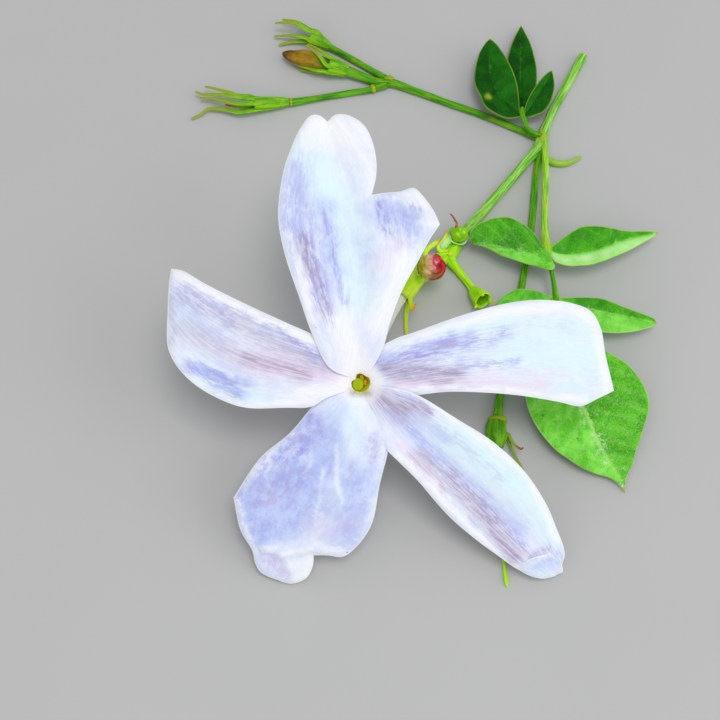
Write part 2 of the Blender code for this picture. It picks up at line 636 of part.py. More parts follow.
side_calyces = [
    ((-6.85, 33.55, 0.55), (-10.0, 33.0, 0.95), (0.42, 0.66, 0.74), [
        [(-10.4, 33.45, 1.25), (-13.2, 34.0, 1.4), (-15.5, 34.9, 1.0)],
        [(-10.4, 33.3, 1.5), (-13.4, 33.7, 1.2), (-16.5, 34.4, 0.7)],
        [(-10.4, 32.9, 1.5), (-13.7, 33.3, 0.9), (-15.9, 33.8, 0.5)],
        [(-10.3, 32.4, 0.8), (-13.4, 32.7, 0.5), (-15.3, 32.5, 0.4), (-16.8, 31.7, 0.3)],
        [(-10.3, 32.6, 1.3), (-12.6, 32.9, 1.3)],
    ]),
    ((-0.78, 37.0, 0.75), (-2.7, 38.0, 1.1), (0.55, 0.82, 0.86), [
        [(-2.9, 38.7, 1.4), (-3.8, 39.1, 1.5), (-4.9, 39.5, 1.4)],
        [(-2.8, 38.4, 1.9), (-4.0, 38.9, 2.1), (-5.6, 39.3, 1.9)],
        [(-2.9, 37.3, 0.8), (-4.2, 37.2, 0.6), (-5.8, 37.3, 0.4)],
    ]),
    ((-2.7, 39.8, 0.5), (-4.9, 41.0, 0.95), (0.42, 0.68, 0.76), [
        [(-5.0, 41.6, 1.1), (-6.3, 42.5, 1.2), (-7.9, 43.0, 1.0)],
        [(-5.1, 41.2, 1.6), (-6.8, 42.0, 1.8), (-8.6, 42.2, 1.5)],
        [(-5.3, 40.6, 1.1), (-7.0, 41.1, 0.9), (-8.7, 41.3, 0.5)],
        [(-5.2, 40.6, 0.6), (-6.8, 40.7, 0.4), (-8.2, 40.4, 0.3)],
    ]),
]
for number, (foot, mouth, radii, lobes) in enumerate(side_calyces, start=1):
    node(f"side_calyx_{number}", calyx(foot, mouth, radii, 0.6, 0.22, lobes), calyx_green, foot)
withered_rows = [
    (-2.35, 37.85, 1.05, 0.38), (-3.1, 38.1, 1.15, 0.5), (-4.3, 38.2, 1.2, 0.62), (-5.8, 38.3, 1.15, 0.7),
    (-7.0, 38.3, 0.95, 0.45), (-7.4, 38.25, 0.9, 0.15),
]
node("withered_corolla", [stem(withered_rows, 10, floor=0.0)], withered_brown, withered_rows[0][:3])

# The thin shoot under the lower leaf, with the calyx and style of a fallen bloom
second_axis = [
    (17.6, 26.75, 0.42, 0.33), (16.4, 19.0, 0.32, 0.33), (15.2, 12.9, 0.32, 0.33), (14.0, 7.3, 0.32, 0.34),
    (12.9, 2.6, 0.36, 0.36), (12.55, 0.6, 0.5, 0.42),
]
node("second_shoot", [stem(second_axis, sides=8, floor=0.0)], stem_green, (17.6, 26.75, 0.42))
second_lobes = [
    [(12.75, -2.5, 1.2), (13.3, -2.6, 1.3), (14.0, -3.0, 1.2), (14.5, -3.1, 1.5)],
    [(12.7, -2.7, 0.8), (13.7, -3.7, 0.6), (14.6, -5.0, 0.5)],
    [(11.6, -2.8, 0.6), (11.0, -4.2, 0.5), (10.9, -5.4, 0.4)],
    [(11.65, -2.7, 1.3), (11.1, -3.5, 1.7), (10.4, -3.9, 1.8)],
]
second_foot, second_mouth = (12.5, 0.35, 0.56), (12.15, -2.4, 0.95)
second_pieces = calyx(second_foot, second_mouth, (0.45, 0.76, 0.78), 0.6, 0.22, second_lobes)
node("second_calyx", second_pieces, calyx_green, second_foot)
second_style = [
    (12.22, -1.9, 0.92, 0.14), (12.2, -5.0, 0.6, 0.13), (12.5, -9.0, 0.3, 0.13), (12.6, -13.2, 0.22, 0.13),
    (12.8, -15.4, 0.25, 0.2),
]
node("second_style", [stem(second_style, 6, floor=0.0)], calyx_green, second_style[0][:3])

# The lower leaf: a rachis with two pairs of leaflets and a large one at its end
lower_rachis = [
    (18.3, 27.5, 1.0, 0.4), (18.15, 25.4, 1.3, 0.38), (17.7, 20.6, 2.0, 0.38), (17.4, 16.2, 2.45, 0.42),
    (17.6, 14.0, 2.45, 0.34), (18.0, 12.0, 2.4, 0.36), (18.3, 9.8, 2.3, 0.3), (18.6, 7.0, 2.15, 0.26),
]
lower_leaflets = [
    leaflet((17.25, 16.0, 2.5), (10.75, 17.15, 2.0), 1.35, 2.6, arch=0.25, fold=-0.35, widest=0.42),
    leaflet((17.6, 16.1, 2.5), (28.0, 18.2, 1.6), 1.75, 1.7, arch=0.4, fold=-0.25, widest=0.5),
    leaflet((17.9, 11.7, 2.4), (13.1, 11.0, 1.5), 0.9, 1.1, arch=0.2, fold=-0.2, bend=-0.2, widest=0.5),
    leaflet((18.0, 11.5, 2.4), (27.6, 9.2, 1.5), 1.5, 1.5, arch=0.3, fold=-0.2, bend=0.4, widest=0.45),
    leaflet((18.55, 7.6, 2.2), (23.6, -7.1, 0.32), 5.2, 5.0, arch=0.7, fold=-0.3, widest=0.42),
]
node("leaf_lower", [stem(lower_rachis, 6)] + lower_leaflets, leaf_green, (18.3, 27.5, 1.0))

# The upper leaf, on the other side of the same joint
upper_rachis = [
    (17.3, 30.7, 1.2, 0.28), (16.9, 31.05, 1.4, 0.28), (16.2, 31.7, 1.6, 0.3), (16.15, 32.4, 1.5, 0.22),
    (16.15, 33.2, 1.35, 0.2),
]
upper_leaflets = [
    leaflet((16.0, 31.6, 1.6), (13.3, 40.4, 2.0), 2.0, 1.9, arch=0.25, fold=-0.2, bend=1.1, widest=0.45),
    leaflet((16.3, 31.7, 1.6), (18.9, 37.6, 1.9), 1.1, 1.25, arch=0.2, fold=-0.15, widest=0.5),
    leaflet((16.15, 32.8, 1.35), (16.3, 42.7, 0.4), 1.8, 1.8, arch=0.1, fold=-0.1, widest=0.42),
]
node("leaf_upper", [stem(upper_rachis, 6)] + upper_leaflets, leaf_green, upper_rachis[0][:3])
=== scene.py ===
import math

import bmesh
import bpy
import numpy as np
from mathutils import Matrix, Vector, noise
from mathutils.geometry import delaunay_2d_cdt


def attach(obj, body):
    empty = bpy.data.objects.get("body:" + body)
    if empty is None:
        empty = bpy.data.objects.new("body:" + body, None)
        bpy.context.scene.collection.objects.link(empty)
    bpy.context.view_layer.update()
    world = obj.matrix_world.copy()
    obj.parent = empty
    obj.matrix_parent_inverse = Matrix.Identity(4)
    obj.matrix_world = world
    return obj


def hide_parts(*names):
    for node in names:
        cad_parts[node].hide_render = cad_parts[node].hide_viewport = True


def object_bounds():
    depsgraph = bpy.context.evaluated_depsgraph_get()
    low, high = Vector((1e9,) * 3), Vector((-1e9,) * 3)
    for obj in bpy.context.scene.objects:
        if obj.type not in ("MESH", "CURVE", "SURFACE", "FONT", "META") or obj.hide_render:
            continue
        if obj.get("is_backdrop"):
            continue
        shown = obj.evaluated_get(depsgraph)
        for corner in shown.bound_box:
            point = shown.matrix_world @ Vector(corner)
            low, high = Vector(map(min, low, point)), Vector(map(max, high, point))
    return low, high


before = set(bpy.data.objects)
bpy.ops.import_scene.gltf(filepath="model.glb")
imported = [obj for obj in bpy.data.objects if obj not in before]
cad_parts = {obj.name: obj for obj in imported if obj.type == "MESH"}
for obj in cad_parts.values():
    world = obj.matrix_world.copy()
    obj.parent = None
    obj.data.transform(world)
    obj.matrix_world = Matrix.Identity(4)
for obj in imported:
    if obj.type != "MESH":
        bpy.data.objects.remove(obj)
cad_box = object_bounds()

# The sprig's pieces are drawn in millimetres. Plan points are (x, y, z) from the spot on the floor
# straight below the bloom's throat. Face points are (u, v, w): right, up and out of the bloom's face.
MM = 0.001
THROAT_IN_ROW = (-5.6, -13.85)
THROAT_HEIGHT = 9.5
LEAN = math.radians(22.0)
FACE_RIGHT = np.array((1.0, 0.0, 0.0))
FACE_UP = np.array((0.0, math.cos(LEAN), math.sin(LEAN)))
FACE_OUT = np.array((0.0, -math.sin(LEAN), math.cos(LEAN)))
FACE_AXES = np.array((FACE_RIGHT, FACE_UP, FACE_OUT))
UPPER_RIGHT = 0.6 * FACE_RIGHT + 0.8 * FACE_UP
THROAT = np.array((0.0, 0.0, THROAT_HEIGHT))
THROAT_RADIUS = 0.8
FLOOR_CLEARANCE = 0.02
SEED_STEP = 17.3

# How a petal bends, in mm and degrees: the funnel it comes out of, the channel along its middle, the sides
# that lift near the throat, and the edge that rolls back further out
FUNNEL_DEPTH = 1.0
FUNNEL_REACH = 0.8
CHANNEL_WIDTH = 1.6
LIFT_DEG = 40
LIFT_START = 1.5
LIFT_REACH = 7
EDGE_ROLL_WIDTH = 1.0
EDGE_ROLL_DROP = 0.12
EDGE_ROLL_START = 2
EDGE_ROLL_RAMP = 3

# A petal's sheet: distance between its points and how near its edge they may lie, thickness, and the layers
# of its relief as (height, scale across and along the veins, step of the seed), with buckles at its rim and
# waves all over. The relief grows between two distances from the throat.
PETAL_SPACING = 0.27
EDGE_GAP = 0.55 * PETAL_SPACING
BASE_ARC_POINTS = 13
PETAL_THICKNESS = 0.2
PETAL_RIM_THICKNESS = 0.06
PETAL_RIM_WIDTH = 0.3
VEIN_RELIEF = ((0.11, (3.4, 1.3), 0), (0.05, (8.0, 3.0), 3), (0.035, (17.0, 5.0), 4))
BUCKLE_HEIGHT = 0.26
BUCKLE_REACH = 1.3
WAVE_HEIGHT = 0.2
RELIEF_GROWTH = (1.5, 6.0)
RIM_DROP = 0.06
BRUSH_WANDER = 0.3
STROKE_FADE = 1.7
THROAT_SHADE = ((-0.7, -0.86), (0.8, -0.92))
THROAT_SHADE_WIDTH = 0.33
# The veins spread between a petal's edges, which are found at so many places along it, each from the edge
# points within WIDTH_REACH
WIDTH_PLACES = 24
WIDTH_REACH = 0.8
# How far the petals' bases reach in over the throat, in mm at degrees from the face's right, and the
# distances from the throat's middle between which they do so more and more
THROAT_LIP = (
    (0, 30, 60, 90, 112, 135, 152, 172, 200, 230, 300),
    (0, 0, 0.1, 0.02, 0.06, 0.33, 0.3, 0.14, 0.06, 0.03, 0),
)
LIP_GROWTH = (1.8, 0.9)

# Stems and calyces. CALYX_MARKS are the shares of the way from a calyx's mouth to its foot at which its
# profile is given, HOLLOW_END the share to which its hollow narrows, and LOBE_FOOT the share of the way at
# which its lobes start as ribs, sunk to a share of its radius.
THINNEST_RADIUS = 0.03
END_BULGE = 0.35
RIB_TWIST = 0.12
CUP_RIBS = 5
CALYX_MARKS = (0, 0.25, 0.5, 0.8, 1)
HOLLOW_END = 0.4
LOBE_FOOT = 0.6
LOBE_FOOT_SUNK = 0.93
LOBE_FOOT_RADIUS = 0.08

# The bud. Its profile has rows of (share of its height, mm from its foot, radius).
BUD_PROFILE = (
    (0, 0.55, 0.55), (0.12, 1, 1), (0.35, 1.6, 1.24), (0.6, 2.3, 1.16), (0.78, 2.85, 0.86),
    (0.9, 3.2, 0.52), (0.97, 3.32, 0.26), (1, 3.3, 0.1),
)
BUD_SIDES = 90
BUD_LEVELS = 52
BUD_WIDTH = 2.5
BUD_MIDDLE = 1.7
BUD_PETALS = 3
BUD_TWIST = 2.1
BUD_TURN = 0.35
# The bud's folds: how far they step out, how wide the painted shade is on either side of one, and
# between which shares of its height they grow and the painted shade for a hole spreads over its tip
FOLD_STEP = 0.22
FOLD_SHADE_WIDTHS = (0.12, 0.04)
FOLD_GROWTH = (0.2, 0.75)
HOLE_GROWTH = (0.93, 0.99)

# Leaf blades: points along and across, thickness with its share at the rim, buckles as (height, scale, step
# of the seed), distance between side veins, the share of it by which the two halves' are moved, one way and
# the other, their slant, and the grooves over the veins
LEAF_ROWS = 72
LEAF_COLUMNS = 33
LEAF_THICKNESS = 0.28
LEAF_RIM = 0.3
LEAF_RIM_WIDTH = 0.2
LEAF_BUCKLES = ((0.2, 0.4, 0), (0.1, 1.0, 2))
VEIN_PITCH = 1.5
VEIN_STAGGER = 0.3
VEIN_SLANT = 0.7
VEIN_WIDTH = 0.09
VEIN_GROOVE = 0.015
MIDRIB_GROOVE = 0.13
MIDRIB_WIDTH = 0.16

# A dark spot's colour as a share of the green round it, and where the upper leaf has a yellow spot
SPOT_SHADE = 0.6
YELLOW_SPOT = (12.66 + THROAT_IN_ROW[0], 33.1 + THROAT_IN_ROW[1])
SUBSURFACE_RADIUS = (0.5 * MM, 0.5 * MM, 0.35 * MM)

# The camera looks straight at the bloom's face from so many mm
CAMERA_DISTANCE = 120.0
CAMERA_AIM_UP = 1.955
MM_PER_PIXEL = 0.085
FRAME_PIXELS = 720
SENSOR_WIDTH = 36.0

# The petals, in face millimetres. Outlines run from one end of the base's arc to the other, and each
# stretch goes on, with a corner, from the last point of the one before. reach is the length over which
# the tip bends down by reflex, channel the depth along the middle, twist the slope across, edge_lift how
# far the clockwise and the other side rise, and ridges are (start, end, rise, width).
PETALS = {
    "top": {
        "direction_deg": 95, "base_radius": 0.84, "base_deg": (38, 150), "reach": 23, "reflex": 1.5,
        "channel": 0.35, "twist": 0.02, "edge_lift": (0.25, 0.3),
        "outline": [
            [(2, 3.1), (2.5, 5), (3.6, 7.9), (4.9, 10.3), (6.1, 12.5), (6.8, 13.5)],
            [(6.3, 14.7), (5.3, 16.1), (4.6, 16.7), (3.5, 16.4), (2.4, 16.3), (1, 16.1)],
            [(1.35, 17.6), (1.4, 19), (1, 20.9), (0.3, 22.2), (-0.9, 23), (-2.1, 23.1), (-2.8, 22.5)],
            [(-3.5, 23), (-4.2, 23), (-5.1, 21.9), (-6, 19.9), (-6.5, 18.4), (-7, 14.4), (-6.5, 11.3),
             (-5.1, 7.1), (-4, 4), (-2.6, 1.3)],
        ],
        "ridges": [((3.6, 13.6), (6.8, 13.5), 0.4, 1), ((-2.8, 22.5), (-2.4, 19.5), -0.14, 0.7)],
    },
    "left": {
        "direction_deg": 159, "base_radius": 0.87, "base_deg": (128, 218), "reach": 19, "reflex": 0.9,
        "channel": 0.45, "twist": 0.05, "edge_lift": (-0.35, 0.3),
        "outline": [
            [(-2, 2.8), (-4, 4.1), (-6, 5), (-9.7, 6.7), (-13.3, 8.5), (-15.2, 9.6), (-16.2, 9.8)],
            [(-16.4, 8.3), (-16.5, 5.6), (-16.4, 3), (-15.6, 1.4), (-14, -0.2), (-11.7, -1.5),
             (-9.7, -2.1), (-6.4, -2.1), (-4.1, -2), (-2.9, -1.3)],
        ],
        "ridges": [],
    },
    "lower_left": {
        "direction_deg": 248, "base_radius": 0.83, "base_deg": (190, 304), "reach": 18.5, "reflex": 2.7,
        "channel": 0.3, "twist": 0, "edge_lift": (-0.3, -0.3),
        "outline": [
            [(-2.2, -0.5), (-3.5, -1.4), (-4.3, -2.3), (-6, -4.3), (-8.5, -6.4), (-10.9, -9.9)],
            [(-10.3, -12.8), (-9.3, -14.6), (-9.1, -15.6), (-8.6, -16.5), (-7.3, -17.1), (-6, -17.5),
             (-4.7, -17), (-4.1, -15.9), (-4, -14.9)],
            [(-2.7, -14.9), (-1.5, -15), (-0.3, -14.1), (1, -12.1), (1.7, -8.6), (2.4, -5.8), (2.7, -3.8),
             (1.9, -1.9)],
        ],
        "ridges": [
            ((-8.5, -14.1), (-6.8, -14.8), 0.34, 0.4),
            ((-6.8, -14.8), (-4.2, -14.2), 0.34, 0.4),
            ((-6.5, -14.9), (-6, -16.2), 0.22, 0.5),
        ],
    },
    "lower_right": {
        "direction_deg": 317, "base_radius": 0.86, "base_deg": (278, 347), "reach": 24.5, "reflex": 2.6,
        "channel": 0.5, "twist": 0, "edge_lift": (0.3, 0.3),
        "outline": [
            [(1.1, -2.2), (1.75, -3.8), (2.1, -5.4), (3.3, -6.7), (4.9, -8.3), (7.6, -11.4),
             (10.4, -13.8), (12.1, -15.05), (13.1, -15.8), (14.2, -16.45), (15.1, -16.85), (15.9, -17),
             (16.9, -16.8), (17.65, -16.45)],
            [(17.55, -16.1), (17.6, -15.6), (17.75, -15.1), (17.6, -14.2), (17.1, -12.9), (16.1, -10.6),
             (14.1, -7.6), (11.3, -5), (8.3, -3.1), (5.6, -1.4), (4.2, -0.75), (2.7, -0.4)],
        ],
        "ridges": [((14.4, -15), (16.2, -14.4), 0.3, 0.6)],
    },
    "right": {
        "direction_deg": 6.5, "base_radius": 0.9, "base_deg": (325, 415), "reach": 22, "reflex": 1.8,
        "channel": 0.45, "twist": 0.03, "edge_lift": (-0.3, -0.25),
        "outline": [
            [(2.6, -1.1), (4.6, -1.05), (7.6, -0.75), (13, -1), (16.9, -1.6), (19, -2), (20.4, -1.4),
             (21.9, -0.7)],
            [(21.2, 2.3), (20.8, 4.5), (19.9, 6.1), (18.3, 6.8), (15.4, 7.1), (12.6, 6.8), (8.5, 5.7),
             (4.6, 4.3), (3.1, 3.8), (1.5, 2.8)],
        ],
        "ridges": [],
    },
}

# Strokes of tint on each petal: (from x, y, to x, y, width, strength) in face millimetres. They fade out
# sideways. The light strokes are painted highlights, the blue ones bluish painted shade over the petal's
# own periwinkle, the mauve ones mauve painted shade, and the lilac ones the petal's lilac flush with
# painted shade in it.
TINTS = {
    "top": {
        "lilac_and_shade": [(-5.4, 18.6, -6.1, 13.7, 1, 0.4), (-4.7, 12.6, -3.3, 7, 0.85, 1),
            (-3.2, 8.4, -2.5, 5, 0.5, 0.9), (-3, 14.4, -2.1, 9.9, 0.4, 0.85),
            (-2.1, 10.3, -1.2, 6.7, 0.35, 0.7), (-6, 13.2, -4.5, 8, 0.6, 0.6),
            (1.5, 15.2, 2.5, 12.8, 0.35, 0.95), (2.7, 15.1, 4.1, 12.5, 1.1, 0.35),
            (4.5, 15, 4.9, 14.7, 0.35, 0.8), (-4.6, 15.2, -4.1, 12.9, 0.5, 0.6)],
        "mauve_shade": [(-4.9, 12.2, -4.3, 9.6, 0.6, 0.75), (-4.1, 10.3, -2.9, 6, 0.45, 0.6)],
        "blue": [(-5.2, 18.2, -5.4, 13, 1.7, 0.62), (-3.2, 15, -2.2, 9.6, 1.4, 0.65),
            (1.8, 14.8, 4.6, 13.8, 1.6, 0.75), (0.3, 12, 1.2, 9, 1.5, 0.45)],
        "pink": [(3.2, 11.8, 2.1, 10.3, 0.9, 0.55), (-0.7, 2.6, -0.3, 0.9, 1, 0.7),
            (-2.6, 22.7, -1.3, 20.8, 1.2, 0.35), (-5.1, 10.3, -3.7, 5.5, 0.4, 0.5)],
        "cool": [(-3.6, 18.5, -0.7, 12.2, 1.7, 0.95), (-1.3, 12.6, 0, 7.1, 1.3, 0.85),
            (-5.8, 19.2, -5.5, 20.8, 1, 0.5)],
        "light": [(-4.1, 22.2, -0.5, 21.6, 2.4, 1), (3.8, 10.3, 1.5, 5.2, 1.2, 0.95),
            (5, 16, 6.1, 13.7, 0.7, 1), (-5.8, 12.4, -4.1, 5.5, 0.45, 0.9),
            (-1.6, 5, -0.2, 1.3, 1.3, 0.9), (3.1, 16, 4.4, 16.2, 0.35, 0.9),
            (0.4, 19.9, 1, 16.9, 0.9, 0.6)],
    },
    "left": {
        "lilac_and_shade": [(-12.4, 7.2, -7.2, 4.8, 0.45, 0.8), (-7.2, 4.8, -3.6, 2.2, 0.45, 0.9),
            (-14.4, 1.4, -10.7, -0.4, 0.6, 0.8), (-15.2, 7.8, -11.1, 5.5, 0.8, 0.55),
            (-12.6, -0.8, -10.2, -1.1, 0.3, 0.6)],
        "mauve_shade": [(-15, 7.4, -11.1, 5.2, 0.8, 0.45), (-11.1, 5.4, -7.1, 3.3, 1, 0.58),
            (-7.1, 3.3, -3.1, 1.4, 0.75, 0.6), (-16, 6.9, -16, 3.7, 0.5, 0.5),
            (-15.3, 4.8, -9.8, 2.2, 1, 0.48), (-9.8, 2.1, -4.5, 0.9, 0.8, 0.85)],
        "blue": [(-13.6, 1.3, -10, -0.4, 1.2, 0.95), (-15.4, 6.5, -12, 3.6, 1.6, 0.4),
            (-8, 4.6, -4, 2.2, 0.8, 0.4)],
        "pink": [(-9.2, 1.6, -1.7, 0.5, 0.75, 1), (-8.3, 2.8, -3.4, 1.3, 0.6, 0.6),
            (-14.5, 4.1, -10.2, 2, 0.9, 0.35)],
        "cool": [(-13.6, -0.3, -8.5, -1.3, 0.8, 0.7), (-15.4, 5.4, -13.6, 2.8, 1.2, 0.4)],
        "light": [(-15.8, 9.4, -9.8, 6.3, 0.45, 1), (-9.8, 6.3, -3.9, 3.6, 0.6, 1),
            (-14.9, 0.2, -9.8, -1.9, 0.35, 1), (-9.8, -1.9, -4.1, -1.6, 0.4, 1),
            (-14.8, 2.6, -10.9, 0.7, 0.22, 0.8), (-5.1, -0.8, -1.3, -0.5, 0.7, 1),
            (-13.2, 0.4, -8.3, -0.8, 0.2, 0.7)],
    },
    "lower_left": {
        "lilac_and_shade": [(-4.2, -2.8, -3.4, -4.3, 0.6, 0.9), (-6.7, -5.9, -4.2, -4.6, 1.1, 0.8),
            (-9.5, -8.1, -6.9, -6.3, 0.8, 0.7), (-10.2, -9.9, -5.1, -8.3, 1.5, 0.62),
            (-6.3, -8.3, -6, -10.2, 0.8, 0.7), (-7.2, -6.4, -5.2, -5.8, 1, 1),
            (-2.8, -6.5, -2.6, -7.4, 0.7, 0.3), (-0.6, -7.1, -0.4, -9.6, 0.45, 0.35),
            (1.2, -4.6, 1.2, -6.6, 0.5, 0.6), (-8.9, -13, -3.2, -10.7, 1, 0.35),
            (-9.8, -11.9, -7.9, -12.2, 0.8, 0.45), (0.2, -9.9, -1.3, -13.5, 0.9, 0.32),
            (-7.9, -15.3, -6.9, -16.5, 0.9, 0.4)],
        "mauve_shade": [(-7, -6.1, -4.4, -4.3, 0.7, 0.12), (-8.1, -9.5, -5.9, -8.8, 0.9, 0.18),
            (1.2, -4.9, 1.3, -6.1, 0.4, 0.4)],
        "blue": [(-3, -5.2, -6.5, -10.5, 3.6, 1), (-9, -8.7, -8.2, -12.8, 2.4, 1),
            (-1.7, -2.2, -1.2, -4.4, 0.8, 0.5), (-0.3, -8, -1.5, -12.5, 2.4, 0.8)],
        "pink": [(-3.7, -12.8, -1.3, -12.1, 1.1, 0.4), (-8.1, -10, -7.3, -9.8, 0.8, 0.3),
            (-3.6, -3.5, -3.1, -4.9, 0.6, 0.2), (-7.7, -15.4, -6.9, -16.1, 0.8, 0.4)],
        "cool": [(-0.9, -2.2, -0.7, -4.5, 1.2, 0.7), (-2.1, -2.3, -2.9, -5.1, 0.7, 0.6),
            (-1.7, -8.3, -1.7, -11.7, 0.6, 0.5)],
        "light": [(-10.4, -8.9, -8.6, -6.9, 0.55, 1), (-8.6, -6.6, -5.5, -4.2, 0.2, 0.8),
            (-2, -5.3, -1.7, -10.2, 0.2, 0.6), (-4.1, -5.7, -4.7, -8.1, 0.25, 0.5),
            (-8.4, -14.1, -6.7, -14.7, 0.22, 1), (-6.7, -14.7, -4.2, -14.2, 0.22, 1),
            (-4.3, -15.2, -5.2, -17, 0.9, 1), (-10.7, -10, -9.1, -14.5, 0.25, 0.9),
            (-0.2, -2.4, 0.9, -3.8, 0.65, 0.8), (-1, -3.6, -0.7, -5.6, 0.7, 0.5),
            (-5.5, -5.9, -4.6, -6.7, 0.3, 0.4), (-6.4, -14.9, -5.8, -15.7, 0.18, 0.8),
            (-3.3, -14.2, -1.2, -14.8, 0.25, 0.8), (-3.2, -7.4, -3.8, -12.1, 0.18, 0.45)],
    },
    "lower_right": {
        "lilac_and_shade": [(3.2, -1, 6.1, -2.5, 0.4, 0.9), (5, -5.3, 8.4, -8.1, 0.45, 0.6),
            (8.4, -8.1, 11.4, -11.4, 0.42, 0.85), (11.4, -11.4, 14.3, -14.2, 0.4, 0.9),
            (14.5, -14.9, 16.3, -14.3, 0.3, 0.9), (16.3, -14.2, 17.5, -15.4, 0.45, 0.4),
            (2.6, -2.3, 5.6, -5.4, 0.5, 0.5), (6.8, -3.2, 12, -8.3, 0.5, 0.35)],
        "mauve_shade": [(1.3, -0.95, 2.8, -1.9, 0.35, 1), (2.6, -1.7, 5.8, -2.3, 0.5, 0.95),
            (5, -5.9, 7.4, -8.1, 0.42, 0.8), (7.4, -8.1, 9.4, -10.3, 0.75, 1),
            (9.4, -10.3, 13.4, -14.9, 0.85, 1), (4.4, -6.2, 7.4, -9.2, 0.3, 0.6),
            (14.5, -15, 16.3, -14.4, 0.2, 0.6), (2, -1.5, 3.6, -2.4, 1, 1),
            (9.6, -9.9, 11.6, -12.1, 0.75, 1)],
        "blue": [(2.6, -2.6, 8, -7.2, 0.9, 0.55), (8, -7.2, 13.9, -12.7, 0.9, 0.55),
            (3.4, -2.4, 7.2, -4.7, 0.9, 0.5), (15.2, -15.6, 16.8, -15.3, 0.9, 0.6)],
        "pink": [(3.4, -5.3, 6.8, -9, 0.5, 0.7), (12.8, -14.3, 15.6, -14.7, 0.5, 0.35)],
        "cool": [(8, -4.6, 16, -11.4, 1.6, 1), (12, -7.5, 16.7, -13.2, 1, 0.8),
            (14.7, -15.9, 16.3, -16.4, 0.6, 0.6)],
        "light": [(5.6, -1.2, 14.4, -7.8, 0.35, 0.9), (14.4, -7.8, 17, -13.5, 0.35, 0.9),
            (3.2, -6.1, 11.8, -14.8, 0.28, 1), (11.8, -14.8, 14.2, -16.5, 0.25, 1),
            (16.3, -14.6, 17.4, -15.5, 0.14, 1), (14.9, -15.2, 16.3, -14.8, 0.3, 0.8),
            (4.4, -6.7, 9.4, -11.8, 0.12, 0.6)],
    },
    "right": {
        "lilac_and_shade": [(2.1, 1.8, 7.2, 2.8, 0.65, 1), (7.2, 2.8, 12.2, 4.3, 0.6, 0.75),
            (3.8, 2.6, 7.7, 3.8, 0.5, 0.8), (8.5, 1.4, 13.5, 1.8, 0.45, 0.65),
            (14.5, 5.2, 17.8, 4.8, 0.5, 0.15), (3.4, 0.9, 8.1, 0.9, 0.5, 0.7)],
        "mauve_shade": [(2, 1.3, 8.5, 0.8, 0.6, 1), (2.4, 0.8, 7.7, -0.1, 0.5, 0.8),
            (6, 2.8, 8.1, 3.5, 0.3, 0.4)],
        "blue": [(2.1, 2, 9, 3.8, 1.2, 0.6), (8.5, 2, 12.5, 4.4, 0.9, 0.35)],
        "pink": [(3.1, 0.1, 7.2, -0.2, 0.5, 1), (8.5, 0, 15.7, -0.1, 0.7, 0.75),
            (10.2, 0.9, 17.1, 0.6, 0.5, 0.5)],
        "cool": [(13.2, 2.6, 20.1, 2.6, 2.1, 1), (13.7, 0.7, 18.9, -0.4, 0.9, 0.6),
            (6.8, 4.4, 13.5, 5.6, 0.7, 0.8), (14, 5, 18.8, 4.8, 0.9, 0.7)],
        "light": [(2.2, 3.2, 12.6, 6.3, 0.5, 1), (12.6, 6.3, 18, 6.7, 0.6, 1), (18, 6.7, 20.5, 4.8, 0.6, 1),
            (20.6, 3.8, 21.4, -0.6, 0.6, 1), (12.6, -0.7, 19.2, -1.6, 0.4, 1),
            (3.4, -0.4, 11.9, -0.6, 0.18, 0.8)],
    },
}

# The lower right petal's folded tip, in face millimetres, and how far it lies over the petal
TIP_FLAP = [
    (16.3, -14.6), (17.3, -15.5), (17.55, -15.9), (17.6, -16.4), (17, -16.72), (16.5, -16.9),
    (15.9, -16.95), (15.1, -16.85), (14.2, -16.45), (13.8, -16.1), (14, -15.7), (14.7, -15.1),
    (15.3, -14.95), (16, -14.8),
]
TIP_FLAP_RISE = (0.08, 0.24)
RISE_REACH = 2

# The corolla tube's foot, and the calyx it bends into, in plan millimetres
TUBE_FOOT = (4.4, 12.45, 1.15)
TUBE_BEND = 4.6
TUBE_MOUTH_W = -0.98
CALYX_FOOT = (5.64, 14.26, 1.0)
CALYX_MOUTH = (3.95, 11.78, 1.25)


def interpolate(pairs, at):
    """Values of a broken line through (position, value, ...) rows, one column at a time."""
    table = np.array(pairs, float)
    return [np.interp(at, table[:, 0], column) for column in table.T[1:]]


def curve_through(controls, spacing):
    """Points about spacing apart on a smooth curve through the control points."""
    knots = np.array(controls, float)
    padded = np.vstack([2 * knots[0] - knots[1], knots, 2 * knots[-1] - knots[-2]])
    points = [knots[0]]
    for before, start, end, after in zip(padded, padded[1:], padded[2:], padded[3:]):
        t1 = math.sqrt(np.linalg.norm(start - before))
        t2 = t1 + math.sqrt(np.linalg.norm(end - start))
        t3 = t2 + math.sqrt(np.linalg.norm(after - end))
        count = max(1, round(np.linalg.norm(end - start) / spacing))
        for t in np.linspace(t1, t2, count + 1)[1:]:
            a1 = ((t1 - t) * before + t * start) / t1
            a2 = ((t2 - t) * start + (t - t1) * end) / (t2 - t1)
            a3 = ((t3 - t) * end + (t - t2) * after) / (t3 - t2)
            b1 = ((t2 - t) * a1 + t * a2) / t2
            b2 = ((t3 - t) * a2 + (t - t1) * a3) / (t3 - t1)
            points.append(((t2 - t) * b1 + (t - t1) * b2) / (t2 - t1))
    return np.array(points)


def lengths_along(path):
    """Distance of each point of the path from its start."""
    return np.concatenate([[0], np.cumsum(np.linalg.norm(np.diff(path, axis=0), axis=1))])


def unit(vector):
    return vector / np.linalg.norm(vector)


def square_to(vector, axis):
    """Unit vector along the part of the vector that is square to the axis."""
    return unit(vector - axis * vector.dot(axis))


def smooth_step(value, low, high):
    t = np.clip((value - low) / (high - low), 0.0, 1.0)
    return t * t * (3 - 2 * t)


